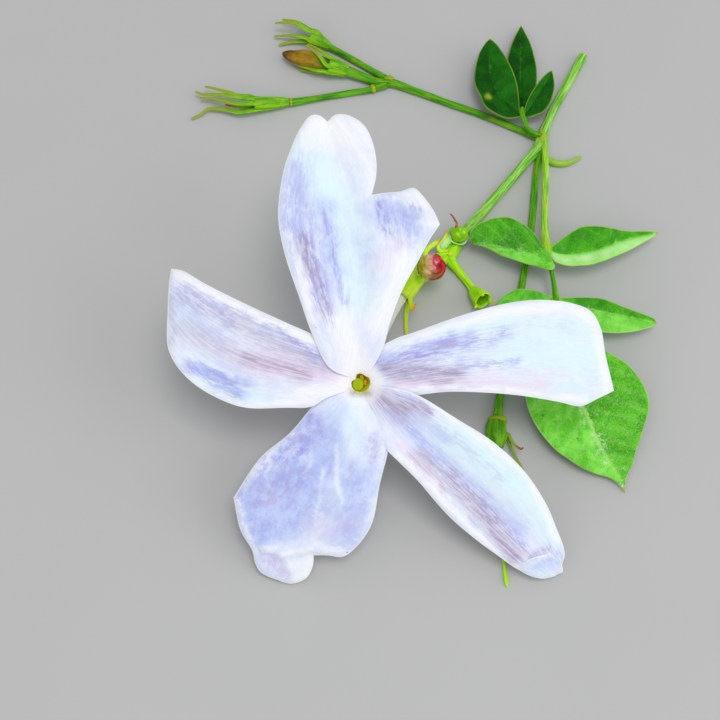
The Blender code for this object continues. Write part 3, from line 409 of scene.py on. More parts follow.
def noise_at(points, scale, seed):
    """Smooth noise between -1 and 1 at each row of points, whose columns are scaled first."""
    scaled = np.atleast_2d(points) * scale
    padded = np.zeros((len(scaled), 3))
    padded[:, : scaled.shape[1]] = scaled
    padded[:, 2] += seed * SEED_STEP
    return np.array([noise.noise(Vector(row)) for row in padded])


def frames(path):
    """Upward normal and side at each point of the path, turning as little as they can."""
    tangents = [unit(step) for step in np.gradient(path, axis=0)]
    normal = square_to(np.array((0.0, 0.0, 1.0)), tangents[0])
    out = []
    for tangent in tangents:
        normal = square_to(normal, tangent)
        out.append((normal, np.cross(tangent, normal)))
    return out


def turns(sides):
    return 2 * math.pi * np.arange(sides) / sides


def linked(name, data):
    """A new object in the scene."""
    made = bpy.data.objects.new(name, data)
    bpy.context.scene.collection.objects.link(made)
    return made


class Shape:
    """Points, faces and colour values of one visible piece, gathered from its parts.

    Every point carries a UV pair and three colour attributes of three values each, which the
    piece's material reads as it likes.
    """

    def __init__(self):
        self.points, self.faces, self.uv = [], [], []
        self.layers = {label: [] for label in ("tint", "tone", "mark")}
        self.count = 0

    def add(self, points, faces, uv, **values):
        """Adds a part, whose faces count its own points from 0."""
        self.points.append(points)
        self.faces += [tuple(int(corner) + self.count for corner in face) for face in faces]
        self.uv.append(uv)
        for label, rows in self.layers.items():
            given = np.array(values.get(label, (0, 0, 0)), float)
            rows.append(np.broadcast_to(given, (len(points), 3)))
        self.count += len(points)
        return self

    def build(self, finish, slot, *nodes, name=None, smooth_deg=60):
        """The piece as an object in the row's frame, in metres, standing for the nodes.

        Its name is taken from the first node when none is given.
        """
        name = name or f"{nodes[0]}_fine"
        points = np.vstack(self.points)
        points[:, 2] = np.maximum(points[:, 2], FLOOR_CLEARANCE)
        mesh = bpy.data.meshes.new(name)
        mesh.from_pydata([tuple(point) for point in points], [], self.faces)
        work = bmesh.new()
        work.from_mesh(mesh)
        bmesh.ops.recalc_face_normals(work, faces=work.faces[:])
        work.to_mesh(mesh)
        work.free()
        layer = mesh.uv_layers.new(name="UVMap")
        corners = np.empty(len(mesh.loops), np.int32)
        mesh.loops.foreach_get("vertex_index", corners)
        layer.data.foreach_set("uv", np.vstack(self.uv)[corners].ravel())
        for label, rows in self.layers.items():
            layer = mesh.color_attributes.new(label, "FLOAT_COLOR", "POINT")
            layer.data.foreach_set("color", np.column_stack([np.vstack(rows), np.ones(self.count)]).ravel())
        mesh.transform(Matrix.Scale(MM, 4) @ Matrix.Translation(Vector((*THROAT_IN_ROW, 0.0))))
        mesh.materials.append(finish)
        mesh.shade_smooth()
        mesh.set_sharp_from_angle(angle=math.radians(smooth_deg))
        made = linked(name, mesh)
        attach(made, "root")
        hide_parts(*nodes)


def grid_faces(rows, columns, round_columns, round_rows=False):
    """Quads of a grid of points, row by row, closed round its columns or rows when asked."""
    index = np.arange(rows * columns).reshape(rows, columns)
    corners = [np.roll(index, shift, (0, 1)) for shift in ((0, 0), (0, -1), (-1, -1), (-1, 0))]
    faces = np.stack(corners, axis=2)
    faces = faces[: rows if round_rows else rows - 1, : columns if round_columns else columns - 1]
    return [tuple(face) for face in faces.reshape(-1, 4)]


def add_rings(shape, rings, heights, tint, closed=False):
    """Adds a skin over rings of points, with a flat end at the first and last unless it is closed.

    The UV is (turn, height).
    """
    levels, sides = len(rings), len(rings[0])
    faces = grid_faces(levels, sides, True, closed)
    if not closed:
        faces += [tuple(range(sides)), tuple((levels - 1) * sides + k for k in range(sides))]
    uv = np.column_stack([np.tile(turns(sides) / (2 * math.pi), levels), np.repeat(heights, sides)])
    return shape.add(np.vstack(rings), faces, uv, tint=np.vstack(tint))


def add_sheet(shape, points, normals, half, faces, loop, uv, **values):
    """Adds a sheet with two faces and a rim: middle points, normals, half thicknesses, and its edge.

    The back's points follow the front's. values are for the front, or for both.
    """
    count = len(points)
    faces = [tuple(face) for face in faces]
    faces += [tuple(corner + count for corner in face[::-1]) for face in faces]
    faces += [(b, a, a + count, b + count) for a, b in zip(loop, [*loop[1:], loop[0]])]
    both = {label: np.resize(rows, (2 * count, 3)) for label, rows in values.items()}
    points = np.vstack([points + normals * half, points - normals * half])
    return shape.add(points, faces, np.tile(uv, (2, 1)), **both)


def tube(shape, controls, sides, spacing, ribs=0, rib=0.0, rough=0.0, flat=1.0, seed=1, **values):
    """Adds a round stem through (x, y, z, radius) control points to a shape.

    ribs and rib give it lengthwise ridges, rough wavers its radius, and flat squashes it. The UV is
    (turn, millimetres along), and tint is (share of the length, radius, 0).
    """
    curve = curve_through(controls, spacing)
    path, radii = curve[:, :3], np.maximum(curve[:, 3], THINNEST_RADIUS)
    lengths, turn = lengths_along(path), turns(sides)
    points, uv, tint = [], [], []
    for centre, radius, (normal, side), far in zip(path, radii, frames(path), lengths):
        place = np.column_stack([np.cos(turn), np.sin(turn), np.full(sides, far)])
        wander = noise_at(place, (1.0, 1.0, 0.8), seed)
        round_radius = radius * (1 + rib * np.cos(ribs * turn + far * RIB_TWIST) + rough * wander)
        points.append(
            centre
            + (flat * round_radius * np.cos(turn))[:, None] * normal
            + (round_radius * np.sin(turn))[:, None] * side
        )
        uv.append(np.column_stack([turn / (2 * math.pi), place[:, 2]]))
        tint.append(np.tile((far / lengths[-1], radius, 0.0), (sides, 1)))
    count = len(path)
    for end, outward in ((0, path[0] - path[1]), (count - 1, path[-1] - path[-2])):
        points.append(path[end][None] + unit(outward) * END_BULGE * radii[end])
        uv.append(uv[end][:1])
        tint.append(tint[end][:1])
    first, last = count * sides, count * sides + 1
    faces = grid_faces(count, sides, True)
    faces += [(first, (k + 1) % sides, k) for k in range(sides)]
    faces += [(last, first - sides + k, first - sides + (k + 1) % sides) for k in range(sides)]
    return shape.add(np.vstack(points), faces, np.vstack(uv), tint=np.vstack(tint), **values)


def distance_to_line(points, start, end):
    """Distance of each point to the segment from start to end."""
    start, end = np.array(start), np.array(end)
    run = end - start
    along = np.clip((points - start) @ run / run.dot(run), 0.0, 1.0)
    return np.linalg.norm(points - start - along[:, None] * run, axis=1)


def distance_to_outline(points, outline):
    """Distance of each point to the nearest side of a closed outline."""
    sides = zip(outline, np.roll(outline, -1, axis=0))
    return np.min([distance_to_line(points, start, end) for start, end in sides], axis=0)


def inside_outline(points, outline):
    """True for each point that a closed outline goes round."""
    inside = np.zeros(len(points), bool)
    for (x1, y1), (x2, y2) in zip(outline, np.roll(outline, -1, axis=0)):
        if y1 != y2:
            crosses = (points[:, 1] > y1) != (points[:, 1] > y2)
            inside ^= crosses & (points[:, 0] < x1 + (points[:, 1] - y1) * (x2 - x1) / (y2 - y1))
    return inside


def fill_outline(outline):
    """Points and triangles of a flat outline, with a staggered grid of points inside it."""
    low, step = outline.min(axis=0), np.array((PETAL_SPACING, PETAL_SPACING * math.sqrt(3) / 2))
    columns, rows = (int(size) + 2 for size in np.ptp(outline, axis=0) / step)
    row, column = np.meshgrid(np.arange(rows), np.arange(columns), indexing="ij")
    grid = low + np.column_stack([(column + 0.5 * (row % 2)).ravel(), row.ravel()]) * step
    grid = grid[inside_outline(grid, outline)]
    grid = grid[distance_to_outline(grid, outline) > EDGE_GAP]
    points = [Vector(point) for point in np.vstack([outline, grid])]
    found = delaunay_2d_cdt(points, [], [list(range(len(outline)))], 1, 1e-6, False)
    points = np.array([tuple(point) for point in found[0]])
    triangles = np.array([tuple(face) for face in found[2]])
    return points, triangles[inside_outline(points[triangles].mean(axis=1), outline)]


def petal_outline(petal):
    """The petal's whole outline, with its base as an arc round the throat."""
    start, end = (math.radians(a) for a in petal["base_deg"])
    radius = petal["base_radius"]
    arc = [(radius * math.cos(a), radius * math.sin(a)) for a in np.linspace(end, start, BASE_ARC_POINTS)]
    stretches = [*petal["outline"][:-1], petal["outline"][-1] + arc[:1]]
    loop, corner = [], arc[-1]
    for stretch in stretches:
        loop += list(curve_through([corner, *stretch], PETAL_SPACING)[:-1])
        corner = stretch[-1]
    return np.array(loop + arc[:-1])


def petal_axes(petal, points):
    """Distance of each face point along the petal's middle line and to its left."""
    turn = math.radians(petal["direction_deg"])
    return points @ (math.cos(turn), math.sin(turn)), points @ (-math.sin(turn), math.cos(turn))


def petal_height(petal, points, outline):
    """How far each face point of the petal stands out of the bloom's face."""
    along, aside = petal_axes(petal, points)
    radius = np.linalg.norm(points, axis=1)
    outward = np.clip((radius - THROAT_RADIUS) / petal["reach"], 0.0, 1.2)
    funnel = -FUNNEL_DEPTH * np.exp(-(radius - THROAT_RADIUS) / FUNNEL_REACH)
    reflex = -petal["reflex"] * outward**2
    middle = np.exp(-((aside / CHANNEL_WIDTH) ** 2))
    channel = -petal["channel"] * middle * np.sin(math.pi * np.clip(outward, 0, 1)) ** 0.5
    angle = np.degrees(np.arctan2(aside, along)) / LIFT_DEG
    fade = np.clip((radius - THROAT_RADIUS) / LIFT_START, 0, 1) * np.exp(-radius / LIFT_REACH)
    clockwise, counter = petal["edge_lift"]
    lift = fade * (counter * np.clip(angle, 0, 1.6) + clockwise * np.clip(-angle, 0, 1.6))
    edge = np.clip(1 - distance_to_outline(points, outline) / EDGE_ROLL_WIDTH, 0, 1)
    roll = -EDGE_ROLL_DROP * edge**2 * np.clip((radius - EDGE_ROLL_START) / EDGE_ROLL_RAMP, 0, 1)
    height = funnel + reflex + channel + lift + roll + petal["twist"] * aside * outward
    for start, end, rise, width in petal["ridges"]:
        height += rise * np.exp(-((distance_to_line(points, start, end) / width) ** 2))
    return height


def vein_coordinates(petal, points, outline):
    """Where each face point lies across the petal, from -1 to 1 between its edges, and along it."""
    along, aside = petal_axes(petal, points)
    edge_along, edge_aside = petal_axes(petal, outline)
    stations = np.linspace(0.5, edge_along.max() - 1.0, WIDTH_PLACES)
    spans = []
    for station in stations:
        near = np.abs(edge_along - station) < WIDTH_REACH
        spans.append((edge_aside[near].min(), edge_aside[near].max()))
    spans = np.array(spans)
    middle = np.polyval(np.polyfit(stations, spans.mean(axis=1), 3), along)
    half = np.maximum(np.polyval(np.polyfit(stations, (spans[:, 1] - spans[:, 0]) / 2, 4), along), 1.0)
    return (aside - middle) / half, along / petal["reach"]


def sheet_normals(points, triangles):
    """Unit normals of a triangle sheet at its points."""
    corners = points[triangles]
    facing = np.cross(corners[:, 1] - corners[:, 0], corners[:, 2] - corners[:, 0])
    normals = np.zeros_like(points)
    for column in range(3):
        np.add.at(normals, triangles[:, column], facing)
    return normals / np.linalg.norm(normals, axis=1)[:, None]


def strokes(points, rows):
    """The strongest of several strokes of tint at each point."""
    amount = np.zeros(len(points))
    for x1, y1, x2, y2, width, strength in rows:
        away = distance_to_line(points, (x1, y1), (x2, y2))
        amount = np.maximum(amount, strength * np.exp(-((away / width) ** STROKE_FADE)))
    return amount


def sheet(shape, name, outline, outer, seed, rise=(0.0, 0.0)):
    """Adds a petal sheet with two faces and a thin rim to a shape.

    outline is the sheet's own edge, and outer the edge of the whole petal, which bends it. rise
    lifts it at that edge, and by its second value more at RISE_REACH from it. tint is (lilac flush with
    painted shade in it, pink, cool), tone (painted highlight above 0 and bluish painted shade below, mauve
    painted shade, mm from the edge) and mark (mm from the throat, painted shade under it, 1 on the back).
    """
    petal, tints = PETALS[name], TINTS[name]
    flat, triangles = fill_outline(outline)
    across, out = vein_coordinates(petal, flat, outer)
    rim = distance_to_outline(flat, outline)
    radius = np.linalg.norm(flat, axis=1)
    veins = np.column_stack([across, out])
    relief = sum(high * noise_at(veins, scale, seed + step) for high, scale, step in VEIN_RELIEF)
    relief += BUCKLE_HEIGHT * noise_at(flat, 0.4, seed + 5) * np.exp(-rim / BUCKLE_REACH)
    relief += WAVE_HEIGHT * noise_at(flat, 0.2, seed + 7)
    relief -= RIM_DROP * np.clip(1 - rim / PETAL_RIM_WIDTH, 0, 1) ** 2
    height = petal_height(petal, flat, outer) + smooth_step(radius, *RELIEF_GROWTH) * relief
    height += rise[0] + rise[1] * np.clip(distance_to_outline(flat, outer) / RISE_REACH, 0, 1)
    turn = np.degrees(np.arctan2(flat[:, 1], flat[:, 0]))
    lip = np.interp(turn, *THROAT_LIP, period=360) * smooth_step(radius, *LIP_GROWTH)
    points = np.column_stack([flat * (1 - lip / radius)[:, None], height]) @ FACE_AXES + THROAT
    normals = sheet_normals(points, triangles)
    if normals[:, 2].sum() < 0:
        normals, triangles = -normals, triangles[:, ::-1]
    half = np.interp(rim, (0, PETAL_RIM_WIDTH), (PETAL_RIM_THICKNESS / 2, PETAL_THICKNESS / 2))[:, None]
    brush = flat + BRUSH_WANDER * np.column_stack([noise_at(flat, 0.9, seed + k) for k in (21, 22)])
    tint = np.column_stack([strokes(brush, tints[key]) for key in ("lilac_and_shade", "pink", "cool")])
    # Painted highlights from the light strokes, less the bluish painted shade of the blue strokes
    painted_light_and_shade = strokes(brush, tints["light"]) - strokes(brush, tints["blue"])
    tone = np.column_stack([painted_light_and_shade, strokes(brush, tints["mauve_shade"]), rim])
    hollow = np.exp(-((distance_to_line(flat, *THROAT_SHADE) / THROAT_SHADE_WIDTH) ** 2))
    beneath = np.repeat((0.0, 1.0), len(flat))
    mark = np.column_stack([np.tile(radius + lip, 2), np.tile(hollow, 2), beneath])
    loop = range(len(outline))
    return add_sheet(shape, points, normals, half, triangles, loop, veins, tint=tint, tone=tone, mark=mark)


def tube_axis(stations):
    """Points of the corolla tube's axis, straight back from the throat and then bending into the calyx."""
    mouth = THROAT + TUBE_MOUTH_W * FACE_OUT
    foot = np.array(TUBE_FOOT)
    into_calyx = unit(np.array(CALYX_FOOT) - np.array(CALYX_MOUTH))
    second = mouth - TUBE_BEND * FACE_OUT
    third = foot - TUBE_BEND * into_calyx
    rows = [
        (1 - t) ** 3 * mouth + 3 * (1 - t) ** 2 * t * second + 3 * (1 - t) * t**2 * third + t**3 * foot
        for t in stations
    ]
    return np.array(rows)


def along_tube(rows, aside=0.0, up=0.0):
    """Stem rows at (station, radius) rows of the tube's axis, moved aside and up along the face."""
    centres = tube_axis([station for station, _ in rows]) + aside * FACE_RIGHT + up * FACE_UP
    return [(*centre, radius) for centre, (_, radius) in zip(centres, rows)]


def cup(shape, outer, inner, sides=40, rib=0.03, bore_rib=0.0, through=False):
    """Adds a hollow turned piece: outer and inner are (x, y, z, radius) rows from the mouth down.

    The UV is (turn, depth), and tint is (how far round to the face's upper right, depth, 1 inside and 0
    outside). through leaves both ends open.
    """
    outer, inner = np.array(outer), np.array(inner)
    rim = (inner[0] + outer[0]) / 2
    rim[:3] += unit(outer[0, :3] - outer[1, :3]) * (outer[0, 3] - inner[0, 3]) * END_BULGE
    rows = np.vstack([outer[::-1], rim, inner])
    depth = np.concatenate([np.linspace(1, 0, len(outer)), [0.0], np.linspace(0, 0.9, len(inner))])
    inside = np.concatenate([np.zeros(len(outer)), [0.3], np.ones(len(inner))])
    directions = frames(outer[::-1, :3])
    directions += directions[-1:] * (1 + len(inner))
    turn = turns(sides)
    rings, tint = [], []
    for row, deep, within, (normal, side) in zip(rows, depth, inside, directions):
        waver = 1 + (rib * (1 - within) + bore_rib * within) * np.cos(CUP_RIBS * turn)
        around = np.cos(turn)[:, None] * normal + np.sin(turn)[:, None] * side
        rings.append(row[:3] + (row[3] * waver)[:, None] * around)
        tint.append(np.column_stack([around @ UPPER_RIGHT, np.full(sides, deep), np.full(sides, within)]))
    return add_rings(shape, rings, depth, tint, through)


def calyx(shape, foot, mouth, radii, depth, wall, lobes, thick, dry, flat=0.7, seed=1):
    """Adds a green calyx: a ribbed cup from its foot to its mouth, with lobes that run down it as ribs.

    radii are the outer radii at foot, middle and mouth, depth is how far down the cup is hollow, and
    thick has the lobes' radii at root, middle and tip. dry lists the lobes whose ends are withered.
    """
    foot, mouth = np.array(foot), np.array(mouth)
    base, waist, top = radii
    profile = (top, (top + waist) / 2 + 0.02, waist, (base + waist) / 2 + 0.06, base)
    outer, inner = (
        np.column_stack([mouth + (foot - mouth) * down[:, None], np.interp(down, CALYX_MARKS, profile)])
        for down in (np.linspace(0, 1, 16), np.linspace(0, depth, 8))
    )
    inner[:, 3] -= wall
    inner[-1, 3] *= HOLLOW_END
    cup(shape, outer, inner)
    inward = unit(foot - mouth)
    length = np.linalg.norm(foot - mouth)
    for number, lobe in enumerate(lobes):
        way = square_to(np.array(lobe[0]) - mouth, inward)
        sunk = np.interp(LOBE_FOOT, CALYX_MARKS, profile) * LOBE_FOOT_SUNK
        low = mouth + way * sunk + inward * length * LOBE_FOOT
        root = mouth + way * (top - wall / 2) + inward * 0.1
        run = [low, root, *(np.array(point) for point in lobe)]
        taper = np.interp(np.linspace(0, 1, len(lobe)), (0, 0.5, 1), thick)
        taper = [LOBE_FOOT_RADIUS, thick[0], *taper]
        tube(
            shape, [(*point, r) for point, r in zip(run, taper)], 12, 0.15, flat=flat, rough=0.12,
            seed=seed + number, tone=(float(number in dry), 1.0, 0.0),
        )
    return shape


def evenly(controls, count):
    """count points at even distances along the curve through the control points."""
    curve = curve_through(controls, 0.1)
    lengths = lengths_along(curve)
    stations = np.linspace(0, lengths[-1], count)
    return np.column_stack([np.interp(stations, lengths, column) for column in curve.T]), lengths[-1]


def leaflet(shape, midrib, left, right, fold, light, seed):
    """Adds a leaf blade between its midrib, as (x, y, z) points, and its two edges, as (x, y) points.

    All run from the leaf's foot, and the edges end at the midrib's tip. fold lifts the edges, and light
    gives the painted light and shade of the left and the right half, the lit one lighter and the shaded
    one darker, with how scarred the blade is. The UV is (across from -1 to 1, share of the length), tint
    (mm from the midrib, vein, painted lightness) and tone (mm from the edge, share of the length, scars).
    """
    spine, length = evenly(midrib, LEAF_ROWS)
    edges = [evenly([*side, midrib[-1][:2]], LEAF_ROWS)[0] - spine[:, :2] for side in (left, right)]
    t, s = np.meshgrid(np.linspace(0, 1, LEAF_ROWS), np.linspace(1, -1, LEAF_COLUMNS), indexing="ij")
    grid = np.tile(spine[:, None], (1, LEAF_COLUMNS, 1))
    from_midrib = np.where(s[:, :, None] > 0, *(edge[:, None] for edge in edges))
    grid[:, :, :2] += from_midrib * np.abs(s[:, :, None])
    half = np.where(s > 0, *(np.linalg.norm(edge, axis=1)[:, None] for edge in edges))
    mm_across = np.abs(s) * half
    phase = (t * length - mm_across * VEIN_SLANT) / VEIN_PITCH + VEIN_STAGGER * np.sign(s)
    vein = np.exp(-(((phase - np.round(phase)) / VEIN_WIDTH) ** 2)) * smooth_step(half, 0.4, 1.2)
    groove = MIDRIB_GROOVE * np.exp(-((mm_across / MIDRIB_WIDTH) ** 2)) * (1.05 - t)
    grid[:, :, 2] += fold * mm_across / half.max() - groove
    grid[:, :, 2] -= VEIN_GROOVE * vein * smooth_step(mm_across, 0.15, 0.5)
    flat = grid[:, :, :2].reshape(-1, 2)
    buckle = sum(high * noise_at(flat, scale, seed + step) for high, scale, step in LEAF_BUCKLES)
    grid[:, :, 2] += buckle.reshape(t.shape) * np.minimum(mm_across, 1.0)
    normals = np.cross(np.gradient(grid, axis=1), np.gradient(grid, axis=0))
    size = np.linalg.norm(normals, axis=2, keepdims=True)
    normals = np.where(size > 1e-6, normals / np.maximum(size, 1e-6), (0.0, 0.0, 1.0))
    normals *= np.where(normals[:, :, 2:] < 0, -1.0, 1.0)
    inner = smooth_step(half - mm_across, 0.0, LEAF_RIM_WIDTH)
    thick = LEAF_THICKNESS / 2 * (LEAF_RIM + (1 - LEAF_RIM) * inner)[:, :, None]
    index = np.arange(s.size).reshape(s.shape)
    loop = [*index[0], *index[1:, -1], *index[-1, -2::-1], *index[-2:0:-1, 0]]
    # Painted light and shade: how light each half is painted, the one lit and the other shaded
    painted_lightness = light[1] + (light[0] - light[1]) * smooth_step(np.sign(s) * mm_across, -0.3, 0.3)
    tint = np.column_stack([mm_across.ravel(), vein.ravel(), painted_lightness.ravel()])
    tone = np.column_stack([(half - mm_across).ravel(), t.ravel(), np.full(s.size, light[2])])
    return add_sheet(
        shape, grid.reshape(-1, 3), normals.reshape(-1, 3), thick.reshape(-1, 1),
        grid_faces(*s.shape, False), loop, np.column_stack([s.ravel(), t.ravel()]), tint=tint, tone=tone,
    )


class Signal:
    """A value or colour in a material, which can be added to, taken from or multiplied by another."""

    def __init__(self, finish, socket):
        self.finish, self.socket = finish, socket

    def combined(self, operation, other):
        return self.finish.node("Math", {0: self, 1: other}, 0, operation=operation)

    def __add__(self, other):
        return self.combined("ADD", other)

    def __sub__(self, other):
        return self.combined("SUBTRACT", other)

    def __mul__(self, other):
        return self.combined("MULTIPLY", other)


class Finish:
    """A procedural material. Its colour is a first one that others are painted over."""

    def __init__(self, name, roughness, specular=0.2, subsurface=0.0, sheen=0.0):
        self.material = bpy.data.materials.new(name)
        self.material.use_nodes = True
        self.tree = self.material.node_tree
        self.shader = self.tree.nodes["Principled BSDF"].inputs
        for socket, value in (
            ("Roughness", roughness), ("Specular IOR Level", specular), ("Subsurface Weight", subsurface),
            ("Subsurface Radius", SUBSURFACE_RADIUS), ("Subsurface Scale", 1.0), ("Sheen Weight", sheen),
        ):
            self.shader[socket].default_value = value

    def node(self, kind, feeds, output, **settings):
        """The output of a new node, fed with signals and plain values."""
        made = self.tree.nodes.new("ShaderNode" + kind)
        for key, value in settings.items():
            setattr(made, key, value)
        for key, value in feeds.items():
            if isinstance(value, Signal):
                self.tree.links.new(value.socket, made.inputs[key])
            else:
                made.inputs[key].default_value = value
        return Signal(self, made.outputs[output])

    def mix(self, factor, first, second):
        """A colour between two, by a factor from 0 to 1."""
        first, second = ((*c, 1.0) if isinstance(c, tuple) else c for c in (first, second))
        return self.node("Mix", {0: factor, 6: first, 7: second}, 2, data_type="RGBA")

    def paint(self, colour, factor):
        """Paints a colour over what is there, by a factor from 0 to 1."""
        self.painted = self.mix(factor, self.painted, colour)

    def range(self, value, low, high, start=0.0, end=1.0):
        """value between low and high, brought smoothly to start and end."""
        feeds = {"Value": value, "From Min": low, "From Max": high, "To Min": start, "To Max": end}
        return self.node("MapRange", feeds, "Result", interpolation_type="SMOOTHSTEP")

    def split(self, *attributes):
        """The three values of each colour attribute."""
        for name in attributes:
            colour = self.node("Attribute", {}, "Color", attribute_name=name)
            yield from (self.node("SeparateColor", {"Color": colour}, part) for part in range(3))

    def place(self, source="Object", scale=(1 / MM,) * 3, shift=(0.0, 0.0)):
        """The object's own millimetres, or its UV."""
        feeds = {"Vector": self.node("TexCoord", {}, source), "Scale": scale, "Location": (*shift, 0.0)}
        return self.node("Mapping", feeds, 0)

    def noise(self, scale, detail, roughness=0.5, distortion=0.0, shift=(0.0, 0.0)):
        """Noise of a scale per millimetre, or of a pair of scales round and along the UV."""
        on_uv = isinstance(scale, tuple)
        vector = self.place("UV", (*scale, 1.0), shift) if on_uv else self.place()
        feeds = {"Vector": vector, "Scale": 1.0 if on_uv else scale, "Detail": detail}
        return self.node("TexNoise", {**feeds, "Roughness": roughness, "Distortion": distortion}, "Fac")

    def cells(self, scale, feature="F1"):
        """Distance to the nearest of points scattered through the piece, or to the border between them."""
        feeds = {"Vector": self.place(), "Scale": scale}
        return self.node("TexVoronoi", feeds, "Distance", feature=feature)

    def done(self, relief=None, depth_mm=0.0, strength=0.0):
        """The material, with what was painted and with a relief."""
        self.tree.links.new(self.painted.socket, self.shader["Base Color"])
        if relief:
            feeds = {"Height": relief, "Distance": depth_mm * MM, "Strength": strength}
            self.tree.links.new(self.node("Bump", feeds, "Normal").socket, self.shader["Normal"])
        return self.material


def petal_finish(name, cloudy):
    """Petals: white with cool and pink washes, painted highlights and bluish painted shade, and a lilac
    flush with painted shade in it and mauve painted shade where fibres run along the veins.

    cloudy, from 0 to 1, is how far soft clouds stand in for the fibres.
    """
    f = Finish(name, 0.55, specular=0.25, subsurface=0.15, sheen=0.05)
    lilac_and_shade, pink, cool, light, mauve_shade, rim, radius, hollow, beneath = f.split("tint", "tone", "mark")
    wool = f.noise((9.0, 13.0), 5.0, 0.7, 0.6)
    dash = f.noise((25.0, 26.0), 4.0, 0.65, 0.5, (2.3, 1.7))
    fibres = f.noise((21.0, 3.6), 4.0, 0.65, 0.4, (3.1, 0.4))
    cloud = f.noise(0.5, 5.0, 0.65, 0.7)
    puffs = f.range(f.noise(1.1, 6.0, 0.75, 0.5), 0.44, 0.57)
    streak = f.range(wool * 0.28 + dash * 0.4 + fibres * 0.32, 0.44, 0.56)
    streak = streak * (1.0 - cloudy) + puffs * cloudy
    patch = f.range(cloud * 0.6 + wool * 0.4, 0.42, 0.58)
    f.painted = f.mix(patch, (0.86, 0.9, 1.0), (0.78, 0.84, 0.99))
    f.paint((0.64, 0.7, 0.97), streak * 0.25)
    f.paint((0.75, 0.96, 1.0), cool * f.range(patch, 0.0, 1.0, 0.95, 0.7))
    # The blue strokes: bluish painted shade over the petal's own periwinkle
    blue = f.mix(patch, (0.53, 0.63, 0.96), (0.44, 0.52, 0.87))
    f.paint(blue, f.range(light, 0.0, -1.0) * f.range(streak, 0.0, 1.0, 0.85, 1.0))
    f.paint((0.9, 0.68, 0.85), pink * f.range(streak, 0.0, 1.0, 0.45, 0.9))
    # The lilac strokes: the petal's lilac flush with painted shade in it, stronger where the bluish painted
    # shade lies
    violet = f.mix(f.range(wool, 0.42, 0.58), (0.34, 0.4, 0.84), (0.42, 0.37, 0.75))
    share = f.range(streak + patch * 0.35, 0.1, 1.3, 0.12, 0.95) + f.range(light, 0.0, -1.0, 0.0, 0.2)
    f.paint(violet, lilac_and_shade * share)
    # The mauve strokes: mauve painted shade that follows the fibres
    dusk = streak * 0.6 + f.range(fibres, 0.42, 0.6) * 0.7
    f.paint((0.41, 0.32, 0.47), mauve_shade * f.range(dusk, 0.1, 1.2, 0.5, 1.0))
    # The light strokes: painted highlights
    f.paint((0.96, 0.97, 0.985), f.range(light, 0.0, 1.0) * f.range(streak, 0.0, 1.0, 1.0, 0.75))
    # Paler towards the rim: a painted highlight where the rolled edge catches the light
    f.paint((0.95, 0.955, 0.975), f.range(rim, 0.16, 0.03, 0.0, 0.7))
    # Pinkish white near the throat: the petal's pale base, lifted further by painted light over the
    # funnel's shade
    f.paint((0.99, 0.965, 0.96), f.range(radius, 2.4, 1.2, 0.0, 0.85))
    # Grey-olive painted shade in the hollow under the throat
    f.paint((0.38, 0.38, 0.26), hollow * f.range(f.noise(6.0, 3.0, 0.65), 0.35, 0.65, 0.6, 0.95))
    f.paint((0.75, 0.7, 0.2), f.range(radius, 0.98, 0.84, 0.0, 0.8))
    f.paint((0.2, 0.14, 0.26), f.range(f.cells(0.2), 0.022, 0.016) * 0.75)
    f.paint((0.85, 0.66, 0.8), beneath * f.range(streak, 0.0, 1.0, 0.15, 0.45))
    return f.done(wool * 0.4 + dash * 0.4 + fibres * 0.2, 0.09, 0.7 - 0.4 * cloudy)


def corolla_tube_finish():
    """The tube: cream white with green lines outside, golden inside its mouth with brown painted shade."""
    f = Finish("corolla_tube", 0.5, subsurface=0.2)
    aside, depth, inside = f.split("tint")
    lines = f.noise((9.0, 2.0), 3.0, 0.55)
    outside = f.mix(f.range(depth, 0.5, 1.0), (1.0, 1.0, 0.97), (1.0, 1.0, 0.88))
    outside = f.mix(f.range(lines, 0.42, 0.66, 0.0, 0.18), outside, (0.8, 0.86, 0.55))
    f.painted = f.mix(f.range(f.noise(3.0, 3.0, 0.6), 0.4, 0.6), (0.78, 0.62, 0.01), (0.62, 0.6, 0.01))
    # Painted shade: orange-brown on the wall towards the face's upper right, and darker brown deeper in the
    # bore
    f.paint((0.42, 0.26, 0.005), f.range(aside, 0.2, 0.9, 0.0, 0.75))
    f.paint((0.3, 0.16, 0.01), f.range(depth, 0.12, 0.3))
    f.painted = f.mix(f.range(inside, 0.2, 0.8), outside, f.painted)
    return f.done(lines, 0.05, 0.6)


def stem_finish(name, dark, pale, warm):
    """Green stems: pale lengthwise fibres, and warm spots where they swell."""
    f = Finish(name, 0.45, subsurface=0.08)
    fibres = f.noise((12.0, 0.4), 3.0, 0.6)
    spots = f.noise(4.5, 2.0)
    warmth, *_ = f.split("tone")
    f.painted = f.mix(f.range(fibres, 0.38, 0.62), dark, pale)
    f.paint(warm, f.range(f.noise(0.9, 3.0, 0.6), 0.5, 0.75, 0.0, 0.4))
    f.paint(warm, warmth * f.range(spots, 0.3, 0.7, 0.6, 1.0))
    f.paint(tuple(SPOT_SHADE * c for c in dark), f.range(spots, 0.64, 0.72, 0.0, 0.35))
    return f.done(fibres * 0.6 + spots * 0.4, 0.06, 0.8)


